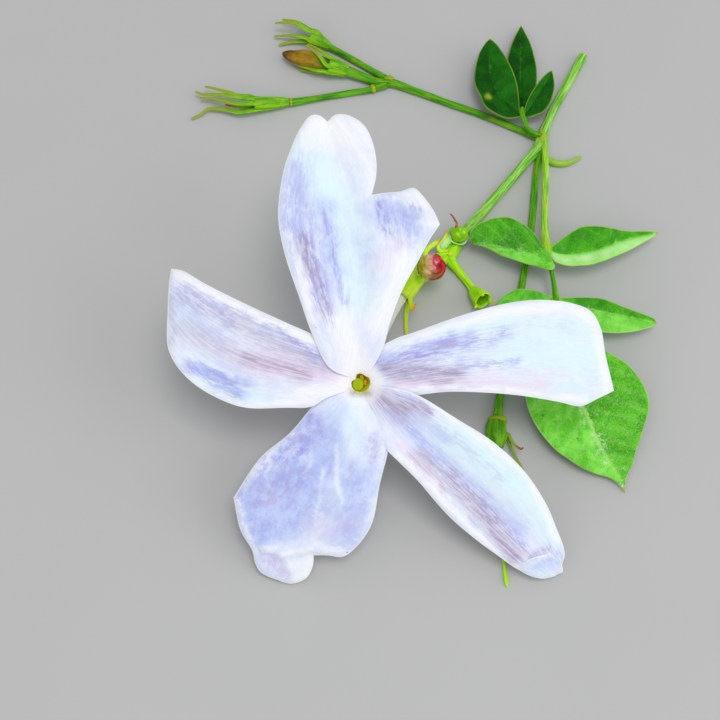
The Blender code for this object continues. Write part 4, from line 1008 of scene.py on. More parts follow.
def calyx_finish(name, green, pale, lobe, dry):
    """Waxy calyx: pale ribs and blotches, painted shade deeper inside its cup, and lobes with dry tips
    where tone says so.
    """
    f = Finish(name, 0.42, specular=0.22, subsurface=0.1)
    far, depth, inside, withers, is_lobe, _ = f.split("tint", "tone")
    ribs = f.noise((10.0, 0.8), 2.0)
    spots = f.noise(5.0, 2.0)
    # A darker green, for the calyx's own dark spots and for the painted shade inside its cup
    shade = tuple(SPOT_SHADE * c for c in green)
    f.painted = f.mix(f.range(ribs, 0.35, 0.65), green, pale)
    f.paint(pale, f.range(f.noise(1.1, 3.0, 0.6), 0.48, 0.68, 0.0, 0.7))
    f.paint(shade, f.range(spots, 0.6, 0.72, 0.0, 0.4))
    f.paint(lobe, f.range(far, 0.35, 0.8, 0.0, 0.9) * is_lobe)
    # Darker further down inside the cup: painted shade in the hollow
    f.paint(shade, inside * f.range(depth, 0.0, 0.3, 0.0, 0.85))
    f.paint(dry, withers * f.range(far, 0.75, 0.95))
    return f.done(ribs * 0.6 + spots * 0.4, 0.05, 0.8)


def leaf_finish(name, dark, pale, highlight_green, vein_colour, spot=None):
    """Leaf blades: painted light and shade on the halves, one lit and one shaded, a painted sheen by the
    midrib, a pale midrib, faint veins, a thin pale edge, scars and a dry tip.

    dark and pale are two close colours each, for halves of painted lightness 0 and 1, the shaded and the
    lit, and the third colour, a painted highlight, is for 2. spot is the (x, y) of a small yellow spot in
    the row's millimetres.
    """
    f = Finish(name, 0.45, specular=0.1, subsurface=0.05)
    across, vein, painted_lightness, edge, share, scars = f.split("tint", "tone")
    net = f.range(f.cells(3.4, "DISTANCE_TO_EDGE"), 0.0, 0.08, 1.0, 0.0)
    blotch = f.noise(0.5, 4.0, 0.65, 0.5)
    grain = f.noise(8.0, 3.0, 0.6)
    flecks = f.noise(1.6, 5.0, 0.8)
    spread = f.range(blotch * 0.85 + grain * 0.15, 0.4, 0.6)
    # Painted light and shade: each half goes from its shaded to its lit green by its painted lightness, and
    # to a painted highlight above 1
    f.painted = f.mix(f.range(painted_lightness, 0.0, 1.0), f.mix(spread, *dark), f.mix(spread, *pale))
    f.paint(highlight_green, f.range(painted_lightness, 1.0, 2.0))
    # A painted sheen in a band beside the midrib, on the lightest halves
    painted_sheen_band = f.range(across, 0.1, 0.6) * f.range(across, 1.5, 0.8)
    f.paint((0.66, 0.96, 0.5), painted_sheen_band * (f.range(painted_lightness, 1.3, 1.65) * f.range(blotch, 0.35, 0.65, 0.3, 0.8)))
    red, green, blue = pale[1]
    f.paint((red, green, 0.4 * blue), f.range(grain, 0.45, 0.7) * f.range(scars, 0.0, 1.0, 0.12, 0.5))
    f.paint(vein_colour, net * f.range(scars, 0.0, 1.0, 0.08, 0.16))
    f.paint(vein_colour, vein * f.range(scars, 0.0, 1.0, 0.05, 0.22))
    wide = across + (flecks - 0.5) * 1.6 - scars * 0.12
    rib = f.range(wide, 0.08, -0.04) * f.range(scars, 0.0, 1.0, 0.35, 0.6)
    f.paint(vein_colour, rib * f.range(share, 0.95, 0.6, 0.35, 1.0))
    f.paint(f.mix(0.5, vein_colour, (0.5, 0.6, 0.1)), f.range(edge, 0.15, 0.04, 0.0, 0.6))
    near = f.range(across, 1.4, 0.1, 0.1, 1.0) * scars
    f.paint((0.66, 0.86, 0.52), f.range(flecks, 0.53, 0.63, 0.0, 0.8) * near)
    f.paint((0.05, 0.24, 0.02), f.range(f.cells(0.5), 0.07, 0.05, 0.0, 0.7) * scars)
    f.paint((0.45, 0.4, 0.06), f.range(share, 0.955, 0.985, 0.0, 0.8))
    if spot:
        from_above = f.place(scale=(1 / MM, 1 / MM, 0.0))
        away = f.node("VectorMath", {0: from_above, 1: (*spot, 0.0)}, "Value", operation="DISTANCE")
        f.paint((0.45, 0.55, 0.04), f.range(away + flecks * 0.7, 0.9, 0.35, 0.0, 0.7))
    f.tree.links.new(f.range(blotch, 0.3, 0.7, 0.36, 0.52).socket, f.shader["Roughness"])
    return f.done(grain * 0.6 - net * 0.25, 0.05, 0.8)


def bud_finish():
    """Rolled bud: olive on its left side, then cream, pink and crimson, with dark painted shade along its
    folds and for a hole at its tip.
    """
    f = Finish("bud_red", 0.45, subsurface=0.08)
    across, fold_shade, up = f.split("tint")
    fibres = f.noise((16.0, 2.4), 4.0, 0.6)
    place = across + (f.noise(2.2, 3.0, 0.6, 0.6) - 0.5) * 0.6
    stripe = f.range(fibres, 0.4, 0.6)
    f.painted = f.mix(stripe, (0.42, 0.4, 0.001), (0.72, 0.6, 0.02))
    f.paint(f.mix(stripe, (0.95, 0.58, 0.2), (1.0, 0.8, 0.38)), f.range(place, 0.14, 0.4))
    f.paint(f.mix(stripe, (0.9, 0.2, 0.22), (1.0, 0.45, 0.42)), f.range(place, 0.34, 0.54))
    crimson = f.mix(f.range(fibres, 0.4, 0.62), (0.72, 0.006, 0.02), (0.92, 0.06, 0.07))
    f.paint(crimson, f.range(place, 0.6, 0.72))
    f.paint((0.56, 0.2, 0.04), f.range(up, 0.45, 0.15, 0.0, 0.9) * f.range(place, 0.3, 0.5))
    # Dark painted shade along the folds and for the hole at the tip
    f.paint((0.16, 0.002, 0.006), fold_shade * f.range(across, 0.4, 0.6, 0.25, 0.85))
    return f.done(fibres, 0.06, 0.8)


def withered_finish():
    """Withered corolla: olive where it leaves its calyx, then orange, with a brown-red tip."""
    f = Finish("dry_brown", 0.6, specular=0.25)
    far, *_ = f.split("tint")
    pleats = f.noise((9.0, 0.6), 3.0, 0.6)
    blotch = f.noise(0.9, 4.0, 0.65, 0.5)
    place = far + (blotch - 0.5) * 0.7
    f.painted = f.mix(f.range(place, 0.2, 0.45), (0.14, 0.21, 0.006), (0.4, 0.24, 0.006))
    f.paint((0.16, 0.04, 0.006), f.range(place, 0.6, 0.9))
    f.paint((0.2, 0.12, 0.004), f.range(pleats, 0.45, 0.62, 0.0, 0.5))
    return f.done(pleats + blotch * 0.5, 0.12, 0.9)


def mottled_finish(name, first, second, third, scale, roughness):
    """A surface in three close colours with a fine grain."""
    f = Finish(name, roughness, subsurface=0.05)
    grain = f.noise(scale * 4, 2.0, 0.6)
    f.painted = f.mix(f.range(f.noise(scale, 3.0, 0.6, 0.3), 0.35, 0.65), first, second)
    f.paint(third, f.range(grain, 0.5, 0.75))
    return f.done(grain, 0.05, 0.9)


petal_white = petal_finish("petal_white", 0.0)
petal_clouded = petal_finish("petal_clouded", 0.7)
corolla_tube_white = corolla_tube_finish()
stem_green = stem_finish("stem_green", (0.12, 0.45, 0.02), (0.42, 0.8, 0.15), (0.4, 0.56, 0.02))
shoot_green = stem_finish("shoot_green", (0.04, 0.24, 0.001), (0.15, 0.5, 0.006), (0.45, 0.5, 0.02))
bright_stem = stem_finish("bright_stem", (0.3, 0.8, 0.004), (0.6, 0.98, 0.025), (0.8, 0.88, 0.03))
rachis_green = stem_finish("rachis_green", (0.16, 0.5, 0.008), (0.52, 0.86, 0.08), (0.7, 0.68, 0.03))
calyx_green, spent_green, side_calyx_green, shaded_side_calyx_green = (calyx_finish(*row) for row in (
    ("calyx_green", (0.5, 0.97, 0.004), (0.78, 1.0, 0.06), (0.7, 0.82, 0.01), (0.85, 0.4, 0.02)),
    ("spent_green", (0.26, 0.76, 0.002), (0.56, 0.97, 0.012), (0.7, 0.84, 0.02), (0.8, 0.6, 0.04)),
    ("side_calyx_green", (0.08, 0.34, 0.001), (0.3, 0.62, 0.01), (0.32, 0.4, 0.02), (0.36, 0.13, 0.03)),
    # A darker copy of the side calyx green: painted shade for the second calyx, which lies in shade
    ("shaded_side_calyx_green", (0.04, 0.22, 0.001), (0.17, 0.44, 0.004), (0.32, 0.4, 0.02), (0.36, 0.13, 0.03)),
))
fruit_green, stub_green, stigma_green, anther_ochre, dry_red = (mottled_finish(*row) for row in (
    ("fruit_green", (0.16, 0.54, 0.001), (0.42, 0.82, 0.004), (0.55, 0.84, 0.03), 0.7, 0.28),
    ("stub_green", (0.42, 0.84, 0.12), (0.64, 0.92, 0.36), (0.78, 0.97, 0.62), 1.4, 0.25),
    ("stigma_green", (0.32, 0.45, 0.001), (0.42, 0.53, 0.002), (0.46, 0.4, 0.002), 1.6, 0.7),
    ("anther_ochre", (0.4, 0.28, 0.002), (0.56, 0.45, 0.004), (0.3, 0.19, 0.003), 3.0, 0.6),
    ("dry_red", (0.34, 0.09, 0.06), (0.5, 0.2, 0.14), (0.24, 0.05, 0.03), 3.0, 0.6),
))
leaf_green = leaf_finish(
    "leaf_green", ((0.022, 0.26, 0.001), (0.07, 0.44, 0.004)), ((0.1, 0.54, 0.018), (0.24, 0.82, 0.08)),
    (0.38, 0.93, 0.17), (0.55, 0.9, 0.26),
)
leaf_dark = leaf_finish(
    "leaf_dark", ((0.002, 0.05, 0.001), (0.005, 0.1, 0.001)), ((0.008, 0.14, 0.001), (0.016, 0.21, 0.003)),
    (0.05, 0.35, 0.01), (0.06, 0.34, 0.02), YELLOW_SPOT,
)
bud_red = bud_finish()
dry_brown = withered_finish()

# The open bloom: one sheet for each petal, the folded tip of the lower right one, and the tube
for number, (name, petal) in enumerate(PETALS.items()):
    edge = petal_outline(petal)
    shape = sheet(Shape(), name, edge, edge, number * 11 + 2)
    if name == "lower_right":
        flap = curve_through(TIP_FLAP + TIP_FLAP[:1], PETAL_SPACING)[:-1]
        sheet(shape, name, flap, edge, number * 11 + 2, TIP_FLAP_RISE)
    looks = petal_clouded if name == "lower_left" else petal_white
    shape.build(looks, "petal", "corolla", name=f"petal_{name}")

stations = np.concatenate([np.linspace(0, 0.1, 16)[:-1], np.linspace(0.1, 1, 50)])
skin = interpolate([(0, 1.02), (0.04, 1), (0.2, 0.88), (0.5, 0.66), (0.8, 0.5), (1, 0.45)], stations)[0]
bore = interpolate(
    [(0, 0.86), (0.01, 0.8), (0.025, 0.68), (0.04, 0.46), (0.055, 0.32), (0.3, 0.3), (1, 0.27)], stations
)[0]
axis = tube_axis(stations)
skin, bore = (np.column_stack([axis, radii]) for radii in (skin, bore))
shape = cup(Shape(), skin, bore, 50, rib=0.025, bore_rib=0.06, through=True)
shape.build(corolla_tube_white, "petal", "corolla", name="corolla_tube")

for number, (aside, up) in enumerate(((0.14, 0.42), (0.42, 0.02)), start=1):
    rows = along_tube([(0.002, 0.08), (0.008, 0.2), (0.022, 0.25), (0.035, 0.2), (0.05, 0.08)], aside, up)
    anther = tube(Shape(), rows, 16, 0.08, ribs=2, rib=0.2, rough=0.12, seed=number)
    anther.build(anther_ochre, "anther", f"anther_{number}")

rows = along_tube([(-0.004, 0.22), (0, 0.44), (0.012, 0.54), (0.03, 0.44), (0.05, 0.2)], -0.18, -0.14)
rows += along_tube([(0.12, 0.13), (0.3, 0.13), (0.65, 0.12), (1, 0.13)])
rows += [(4.6, 12.72, 1.14, 0.28), (4.75, 12.92, 1.12, 0.36), (4.88, 13.12, 1.1, 0.22)]
tube(Shape(), rows, 24, 0.08, ribs=2, rib=0.05, rough=0.12).build(stigma_green, "pistil", "pistil")

calyx_lobes = [
    [(4.62, 11.3, 2.15), (4.7, 10.75, 2.25), (4.74, 10.25, 2.38), (4.86, 10, 2.46), (5.06, 10.08, 2.6),
     (5.14, 10.4, 2.76)],
    [(4.5, 11.2, 0.95), (4.35, 10.4, 0.85), (4.3, 9.6, 0.75), (4.31, 8.3, 0.6)],
    [(3.5, 11.95, 0.75), (2.4, 11, 0.5), (1.4, 9.8, 0.5)],
    [(3.5, 12, 1.65), (2.6, 11.6, 2), (1.9, 10.9, 2.5)],
    [(3.5, 11.6, 0.4), (2.7, 10.4, 0.3), (1.9, 9.3, 0.3)],
]
shape = calyx(
    Shape(), CALYX_FOOT, CALYX_MOUTH, (0.74, 0.84, 0.84), 0.62, 0.2, calyx_lobes,
    thick=(0.22, 0.19, 0.13), dry=(0,), seed=4,
)
shape.build(calyx_green, "calyx", "flower_calyx")

# The bud: petals rolled over each other in a spiral, with painted shade for a hole where they meet
bud_foot = np.array((5.74, 14.32, 2.1))
bud_run = unit(np.array((0.48, -0.3, 0.82)))


def on_bud(rows):
    """Stem rows at (distance from the bud's foot, radius) along its axis."""
    return [(*(bud_foot + bud_run * far), radius) for far, radius in rows]


def rolled_bud():
    """A bud whose skin steps outwards along spiral folds that show towards its tip.

    tint is (left to right, painted shade along the folds and for a hole at the tip, bottom to top) as
    seen from the bloom's face.
    """
    heights = np.linspace(0, 1, BUD_LEVELS)
    distance, radius = interpolate(BUD_PROFILE, heights)
    turn = turns(BUD_SIDES)
    side = unit(np.cross(bud_run, (0.0, 1.0, 0.0)))
    front = np.cross(side, bud_run)
    around = np.cos(turn)[:, None] * side + np.sin(turn)[:, None] * front
    middle = bud_foot + bud_run * BUD_MIDDLE
    rings, tint = [], []
    for height, far, r in zip(heights, distance, radius):
        wrap = (BUD_PETALS * turn / (2 * math.pi) + BUD_TWIST * height**2 + BUD_TURN) % 1.0
        depth = smooth_step(height, *FOLD_GROWTH)
        ring = r * (1 + FOLD_STEP * depth * (wrap - 0.5))
        place = bud_foot + bud_run * far + ring[:, None] * around
        # Painted shade on either side of each fold, and over the tip for a hole
        aside = zip((wrap, 1 - wrap), FOLD_SHADE_WIDTHS)
        fold_shade = np.maximum(*(np.exp(-((away / width) ** 2)) for away, width in aside)) * depth
        fold_shade = np.maximum(fold_shade, smooth_step(height, *HOLE_GROWTH))
        across, up = (0.5 + (place - middle) @ way / BUD_WIDTH for way in (FACE_RIGHT, FACE_UP))
        rings.append(place)
        tint.append(np.column_stack([across, np.clip(fold_shade, 0, 1), up]))
    return add_rings(Shape(), rings, heights, tint)


rolled_bud().build(bud_red, "bud", "bud", smooth_deg=45)
stations = np.linspace(0, 1, 14)
far, radius = interpolate(
    [(0, 0.82, 1.03), (0.3, 0.62, 1.0), (0.65, 0.38, 0.84), (0.87, 0.16, 0.58), (1, 0.0, 0.36)], stations
)
deep, bore = interpolate([(0, 0.82, 0.95), (0.5, 0.65, 0.88), (0.85, 0.48, 0.7), (1, 0.4, 0.56)], stations)
shape = cup(Shape(), on_bud(zip(far, radius)), on_bud(zip(deep, bore)), 44)
for number, (right, up) in enumerate(((-0.95, -0.62), (0.2, -1.1), (-0.75, 0.85), (1.05, 0.1))):
    way = square_to(unit(right * FACE_RIGHT + up * FACE_UP), bud_run)
    rows = [(0.5, 0.92, 0.15), (0.9, 1.06, 0.13), (1.2, 1.18, 0.09), (1.45, 1.24, 0.05)]
    tooth = [(*(bud_foot + bud_run * far + way * out), r) for far, out, r in rows]
    tube(shape, tooth, 12, 0.1, flat=0.6, rough=0.1, seed=number)
shape.build(calyx_green, "calyx", "bud_calyx")

# Stems
main_axis = [
    (22.6, 39, 0.46, 0.44), (21, 36, 0.46, 0.42), (19.2, 32.5, 0.48, 0.41), (18.45, 30.8, 0.5, 0.42),
    (18.12, 29.9, 0.54, 0.5), (17.95, 29.2, 0.56, 0.58), (17.7, 28.5, 0.55, 0.56),
    (17.1, 27.7, 0.48, 0.47), (15.9, 26.2, 0.45, 0.44), (14, 23.8, 0.45, 0.45), (12.2, 21.6, 0.45, 0.47),
    (10.6, 19.6, 0.48, 0.5), (9.5, 18.1, 0.52, 0.54), (9.1, 17.4, 0.56, 0.6),
]
twig = [
    (17.9, 27.9, 0.6, 0.26), (18.2, 27.2, 0.42, 0.3), (18.65, 26.85, 0.36, 0.36),
    (19.35, 26.62, 0.34, 0.34), (20.2, 26.62, 0.3, 0.28), (21, 26.95, 0.26, 0.22), (21.7, 27.4, 0.24, 0.14),
]
swelling = [
    (17.95, 30, 0.8, 0.22), (18, 29.5, 0.9, 0.34), (18.05, 28.8, 0.9, 0.4), (18.05, 28.1, 0.75, 0.28),
]
shape = tube(Shape(), main_axis, 32, 0.25, ribs=4, rib=0.04, rough=0.05, seed=2)
tube(shape, swelling, 20, 0.15, rough=0.2, seed=31, tone=(0.9, 0, 0))
tube(shape, twig, 18, 0.2, rough=0.16, seed=5, tone=(0.6, 0, 0))
shape.build(stem_green, "stem", "main_stem")
stalks = [
    [(9.35, 17.8, 0.52, 0.5), (9, 17.2, 0.6, 0.6), (8.65, 16.6, 0.7, 0.64), (8.4, 16.1, 0.75, 0.5)],
    [(8.6, 16.5, 0.7, 0.46), (7.4, 15.35, 0.7, 0.42), (6.4, 14.4, 0.9, 0.42), (5.85, 13.85, 0.98, 0.5)],
    [(8.5, 16.5, 0.9, 0.34), (7.5, 16.1, 1.2, 0.32), (6.5, 15.5, 1.35, 0.3), (5.98, 14.8, 1.75, 0.3),
     (5.78, 14.34, 2.25, 0.34)],
    [(8.4, 16.4, 0.8, 0.42), (8.72, 15.75, 0.62, 0.46), (9.2, 15.1, 0.46, 0.41), (9.7, 14.4, 0.42, 0.34),
     (10.3, 13.5, 0.45, 0.33), (10.7, 12.8, 0.6, 0.4)],
    [(9.2, 17.75, 0.55, 0.4), (9.3, 17.9, 1, 0.36), (9.35, 17.95, 1.35, 0.36)],
]
shape = Shape()
for number, stalk in enumerate(stalks):
    tube(shape, stalk, 24, 0.16, ribs=4, rib=0.05, rough=0.1, seed=number + 7)
knobs = ((8.55, 16.35, 1.15, 0.3), (8.85, 15.9, 0.85, 0.26), (8.15, 16.6, 1.1, 0.26))
for number, (x, y, z, r) in enumerate(knobs):
    knob = [(x - 0.16, y + 0.12, z, 0.6 * r), (x, y, z, r), (x + 0.16, y - 0.12, z, 0.6 * r)]
    tube(shape, knob, 16, 0.08, rough=0.2, seed=number + 50, tone=(0.9, 0, 0))
shape.build(bright_stem, "stem", "main_stem", name="flower_stalks")

side_axis = [
    (17.95, 29.35, 0.5, 0.3), (17.2, 29.65, 0.44, 0.34), (15.7, 30.45, 0.38, 0.34),
    (12.1, 32.15, 0.35, 0.33), (8.8, 33.5, 0.34, 0.33), (5.5, 34.9, 0.36, 0.35), (3.3, 35.75, 0.42, 0.42),
    (2.6, 35.85, 0.45, 0.4),
]
side_stalks = [
    [(2.6, 35.6, 0.45, 0.4), (1.6, 35.25, 0.42, 0.4), (1, 35.02, 0.38, 0.32), (-0.8, 34.72, 0.34, 0.3),
     (-2.7, 34.35, 0.34, 0.3), (-5, 33.9, 0.36, 0.32), (-6.8, 33.5, 0.5, 0.36), (-7.6, 33.4, 0.62, 0.4)],
    [(3, 35.75, 0.5, 0.42), (1.7, 35.9, 0.5, 0.42), (0.3, 36.4, 0.58, 0.45), (-1, 36.88, 0.75, 0.52),
     (-1.75, 37.1, 0.85, 0.56)],
    [(3.2, 35.9, 0.45, 0.36), (2.2, 36.6, 0.4, 0.33), (0.2, 38, 0.36, 0.3), (-2.5, 39.7, 0.44, 0.32),
     (-3.4, 40.2, 0.6, 0.36)],
]
collars = [
    ((1.5, 35.18, 0.44), (1.15, 35.06, 0.42), 0.46), ((-6.8, 33.5, 0.5), (-7.05, 33.47, 0.54), 0.45),
]
shape = tube(Shape(), side_axis, 24, 0.25, ribs=4, rib=0.05, rough=0.06, seed=3)
for number, stalk in enumerate(side_stalks):
    tube(shape, stalk, 22, 0.25, ribs=4, rib=0.05, rough=0.08, seed=number + 20)
for number, (start, end, r) in enumerate(collars):
    between = tuple((a + b) / 2 for a, b in zip(start, end))
    rows = [(*start, 0.8 * r), (*between, r), (*end, 0.8 * r)]
    tube(shape, rows, 24, 0.06, rough=0.12, seed=number + 60, tone=(1, 0, 0))
fork = [(3.3, 36.1, 0.62, 0.2), (2.95, 36.1, 0.8, 0.28), (2.5, 36.1, 0.7, 0.2)]
tube(shape, fork, 16, 0.1, rough=0.2, seed=64, tone=(0.8, 0, 0))
shape.build(shoot_green, "stem", "side_shoot")
second_axis = [
    (17.85, 28.6, 0.5, 0.28), (17.6, 27.2, 0.46, 0.33), (17.3, 25.8, 0.4, 0.33), (16.4, 19, 0.35, 0.33),
    (15.2, 12.9, 0.34, 0.33), (14, 7.3, 0.34, 0.35), (12.9, 2.6, 0.4, 0.38), (12.6, 0.9, 0.56, 0.4),
    (12.46, -0.1, 0.74, 0.46),
]
shape = tube(Shape(), second_axis, 24, 0.3, ribs=4, rib=0.05, rough=0.06, seed=9)
shape.build(shoot_green, "stem", "second_shoot")

# Bracts, young fruit, spent calyces and what is left in them
bracts = [
    [(7.9, 16.55, 1.2, 0.2), (7.45, 16.75, 1.4, 0.22), (7.65, 17.2, 1.5, 0.2), (8.03, 17.66, 1.7, 0.19),
     (8.2, 18, 1.85, 0.16), (8.1, 18.38, 2, 0.07)],
    [(6.5, 15.75, 1.2, 0.2), (6.2, 16.1, 1.35, 0.25), (6.25, 16.48, 1.5, 0.26), (6.7, 16.9, 1.6, 0.24),
     (7.2, 17.26, 1.68, 0.2), (7.58, 17.6, 1.8, 0.08)],
]
for number, bract in enumerate(bracts, start=1):
    shape = tube(Shape(), bract, 14, 0.08, flat=0.7, rough=0.12, seed=number, tone=(1, 0, 0))
    shape.build(calyx_green, "calyx", f"bract_{number}")
stub = [
    (7.62, 16.72, 1.2, 0.2), (7.84, 17, 1.36, 0.4), (8.16, 17.4, 1.42, 0.42), (8.52, 17.82, 1.36, 0.36),
    (8.8, 18.15, 1.25, 0.2),
]
tube(Shape(), stub, 18, 0.1, rough=0.1, seed=3).build(stub_green, "stem", "main_stem", name="stem_bract")
fruit = [
    (9.38, 17.98, 1.22, 0.36), (9.4, 18, 1.45, 0.62), (9.42, 18, 1.95, 0.79), (9.45, 18.02, 2.4, 0.66),
    (9.46, 18.04, 2.64, 0.38), (9.46, 18.04, 2.7, 0.14),
]
small_fruit = [
    (9.1, 18.2, 1.75, 0.22), (8.82, 18.42, 1.8, 0.38), (8.62, 18.52, 1.8, 0.3), (8.5, 18.58, 1.8, 0.12),
]
shape = tube(Shape(), fruit, 36, 0.07, ribs=3, rib=0.02, rough=0.04, seed=4)
tube(shape, small_fruit, 24, 0.07, rough=0.06).build(fruit_green, "fruit", "young_fruit")
rows = np.array([(9.4, 17.98, 1.5, 0.93), (9.38, 17.96, 1.3, 0.7), (9.36, 17.94, 1.15, 0.4)])
shape = cup(Shape(), rows, rows - (0, 0, -0.06, 0.07), 36)
shape.build(stub_green, "fruit", "young_fruit", name="fruit_calyx")
style = [
    (9.2, 18.25, 2.35, 0.13), (9.13, 18.5, 2.5, 0.15), (9.16, 18.72, 2.72, 0.1), (8.94, 19.05, 2.93, 0.1),
    (8.72, 19.38, 3.04, 0.085), (8.47, 19.6, 3.1, 0.05),
]
tube(Shape(), style, 14, 0.07, rough=0.25).build(dry_red, "withered", "withered_style")
spent_lobes = [
    [(12.15, 11.3, 1.35), (12.4, 11.1, 1.6), (12.5, 11.25, 1.85)],
    [(10.85, 10.9, 1.25), (10.72, 10.6, 1.4)],
    [(11.3, 11.65, 2.05), (11.5, 11.5, 2.25)],
]
shape = calyx(
    Shape(), (10.62, 12.8, 0.6), (11.48, 11.4, 1.35), (0.44, 0.72, 0.86), 0.6, 0.16, spent_lobes,
    thick=(0.16, 0.13, 0.08), dry=(0,), seed=6,
)
shape.build(spent_green, "calyx", "spent_calyx")

# Each side calyx is (foot, mouth, radii, lobes, withered lobes).
side_calyces = [
    ((-7.15, 33.45, 0.58), (-10.5, 32.95, 1), (0.4, 0.62, 0.64), [
        [(-10.9, 33.6, 1.35), (-11.94, 33.67, 1.38), (-13.1, 34.04, 1.45), (-14.3, 34.45, 1.4),
         (-15.4, 34.86, 1.2)],
        [(-11.1, 33.25, 1.6), (-11.92, 33.39, 1.5), (-13.64, 33.84, 1.3), (-14.93, 33.99, 1.1),
         (-15.8, 34.15, 0.95), (-16.4, 34.46, 0.9)],
        [(-10.7, 32.6, 1.7), (-11.88, 32.56, 1.65), (-13.62, 33.15, 1.3), (-14.73, 33.62, 1),
         (-15.92, 33.78, 0.8)],
        [(-11, 32.9, 0.5), (-12.1, 32.74, 0.75), (-13.38, 32.98, 0.8)],
        [(-10.9, 32.3, 0.85), (-11.94, 32.11, 0.8), (-13.34, 32.5, 0.65), (-14.63, 32.69, 0.6),
         (-15.23, 32.6, 0.55), (-15.72, 32.18, 0.45), (-16.74, 31.7, 0.3)],
    ], (3,)),
    ((-1.2, 36.95, 0.8), (-3.1, 37.35, 1.1), (0.6, 0.78, 0.88), [
        [(-3.35, 36.9, 1.9), (-3.9, 37.65, 2.05), (-4.7, 38.6, 2), (-5.4, 39.3, 1.9)],
        [(-3, 37.9, 1.75), (-3.5, 38.3, 1.8), (-4.3, 38.9, 1.8), (-5.25, 39.55, 1.7)],
        [(-3.4, 36.65, 1.2), (-4.4, 36.85, 1.1), (-5.5, 37.3, 0.9), (-6.55, 37.8, 0.8)],
        [(-3.4, 37, 0.5), (-4.65, 37.1, 0.45), (-6.05, 37.4, 0.35)],
    ], ()),
    ((-3.1, 40, 0.55), (-4.9, 41, 0.95), (0.36, 0.62, 0.74), [
        [(-5, 41.6, 1.1), (-6.3, 42.5, 1.2), (-7.9, 43, 1)],
        [(-5.1, 41.2, 1.6), (-6.8, 42, 1.8), (-8.6, 42.2, 1.5)],
        [(-5.3, 40.6, 1.1), (-7, 41.1, 0.9), (-8.7, 41.3, 0.5)],
        [(-5.2, 40.6, 0.6), (-6.8, 40.7, 0.4), (-8.2, 40.4, 0.3)],
    ], ()),
]
for number, (foot, mouth, radii, lobes, dry) in enumerate(side_calyces, start=1):
    shape = calyx(
        Shape(), foot, mouth, radii, 0.6, 0.16, lobes, (0.27, 0.19, 0.12), dry, flat=0.6, seed=number * 5
    )
    shape.build(side_calyx_green, "calyx", f"side_calyx_{number}")
withered_rows = [
    (-2.6, 37.2, 1.05, 0.4), (-3.4, 37.4, 1.12, 0.56), (-4.6, 37.85, 1.2, 0.76), (-5.8, 38.2, 1.15, 0.78),
    (-6.9, 38.6, 1.05, 0.6), (-7.5, 38.85, 0.95, 0.34), (-7.8, 39, 0.9, 0.12),
]
shape = tube(Shape(), withered_rows, 36, 0.1, ribs=7, rib=0.09, rough=0.3, seed=8)
shape.build(dry_brown, "withered", "withered_corolla")
second_lobes = [
    [(13.3, -1.7, 1.2), (13.57, -2.3, 1.2), (13.86, -2.73, 1.25), (14.13, -2.99, 1.3),
     (14.45, -3.21, 1.4), (14.6, -3.1, 1.5)],
    [(13.15, -1.9, 0.85), (13.4, -2.3, 0.8), (13.63, -2.95, 0.75), (14.02, -3.7, 0.6),
     (14.52, -4.65, 0.45), (14.9, -5.5, 0.4)],
    [(11.6, -2.7, 0.6), (11, -4.2, 0.5), (10.9, -5.4, 0.4)],
    [(11.6, -2.6, 1.3), (11.1, -3.5, 1.7), (10.4, -3.9, 1.8)],
]
shape = calyx(
    Shape(), (12.33, -0.3, 0.78), (12.2, -2.9, 0.9), (0.76, 0.95, 0.62), 0.6, 0.14, second_lobes,
    thick=(0.17, 0.13, 0.08), dry=(0,), seed=31,
)
collar = [
    (12.46, 0.05, 0.74, 0.5), (12.45, -0.12, 0.77, 0.8), (12.44, -0.28, 0.79, 0.9),
    (12.43, -0.45, 0.8, 0.86),
]
tube(shape, collar, 24, 0.08, rough=0.1, seed=33, tone=(0, 1, 0))
shape.build(shaded_side_calyx_green, "calyx", "second_calyx")
second_style = [
    (12.25, -1.3, 0.92, 0.14), (12.2, -5, 0.6, 0.12), (12.5, -9, 0.3, 0.12), (12.6, -13.2, 0.22, 0.13),
    (12.75, -15, 0.25, 0.17), (12.8, -15.4, 0.25, 0.1),
]
tube(Shape(), second_style, 14, 0.2, rough=0.12, seed=12).build(bright_stem, "pistil", "second_style")

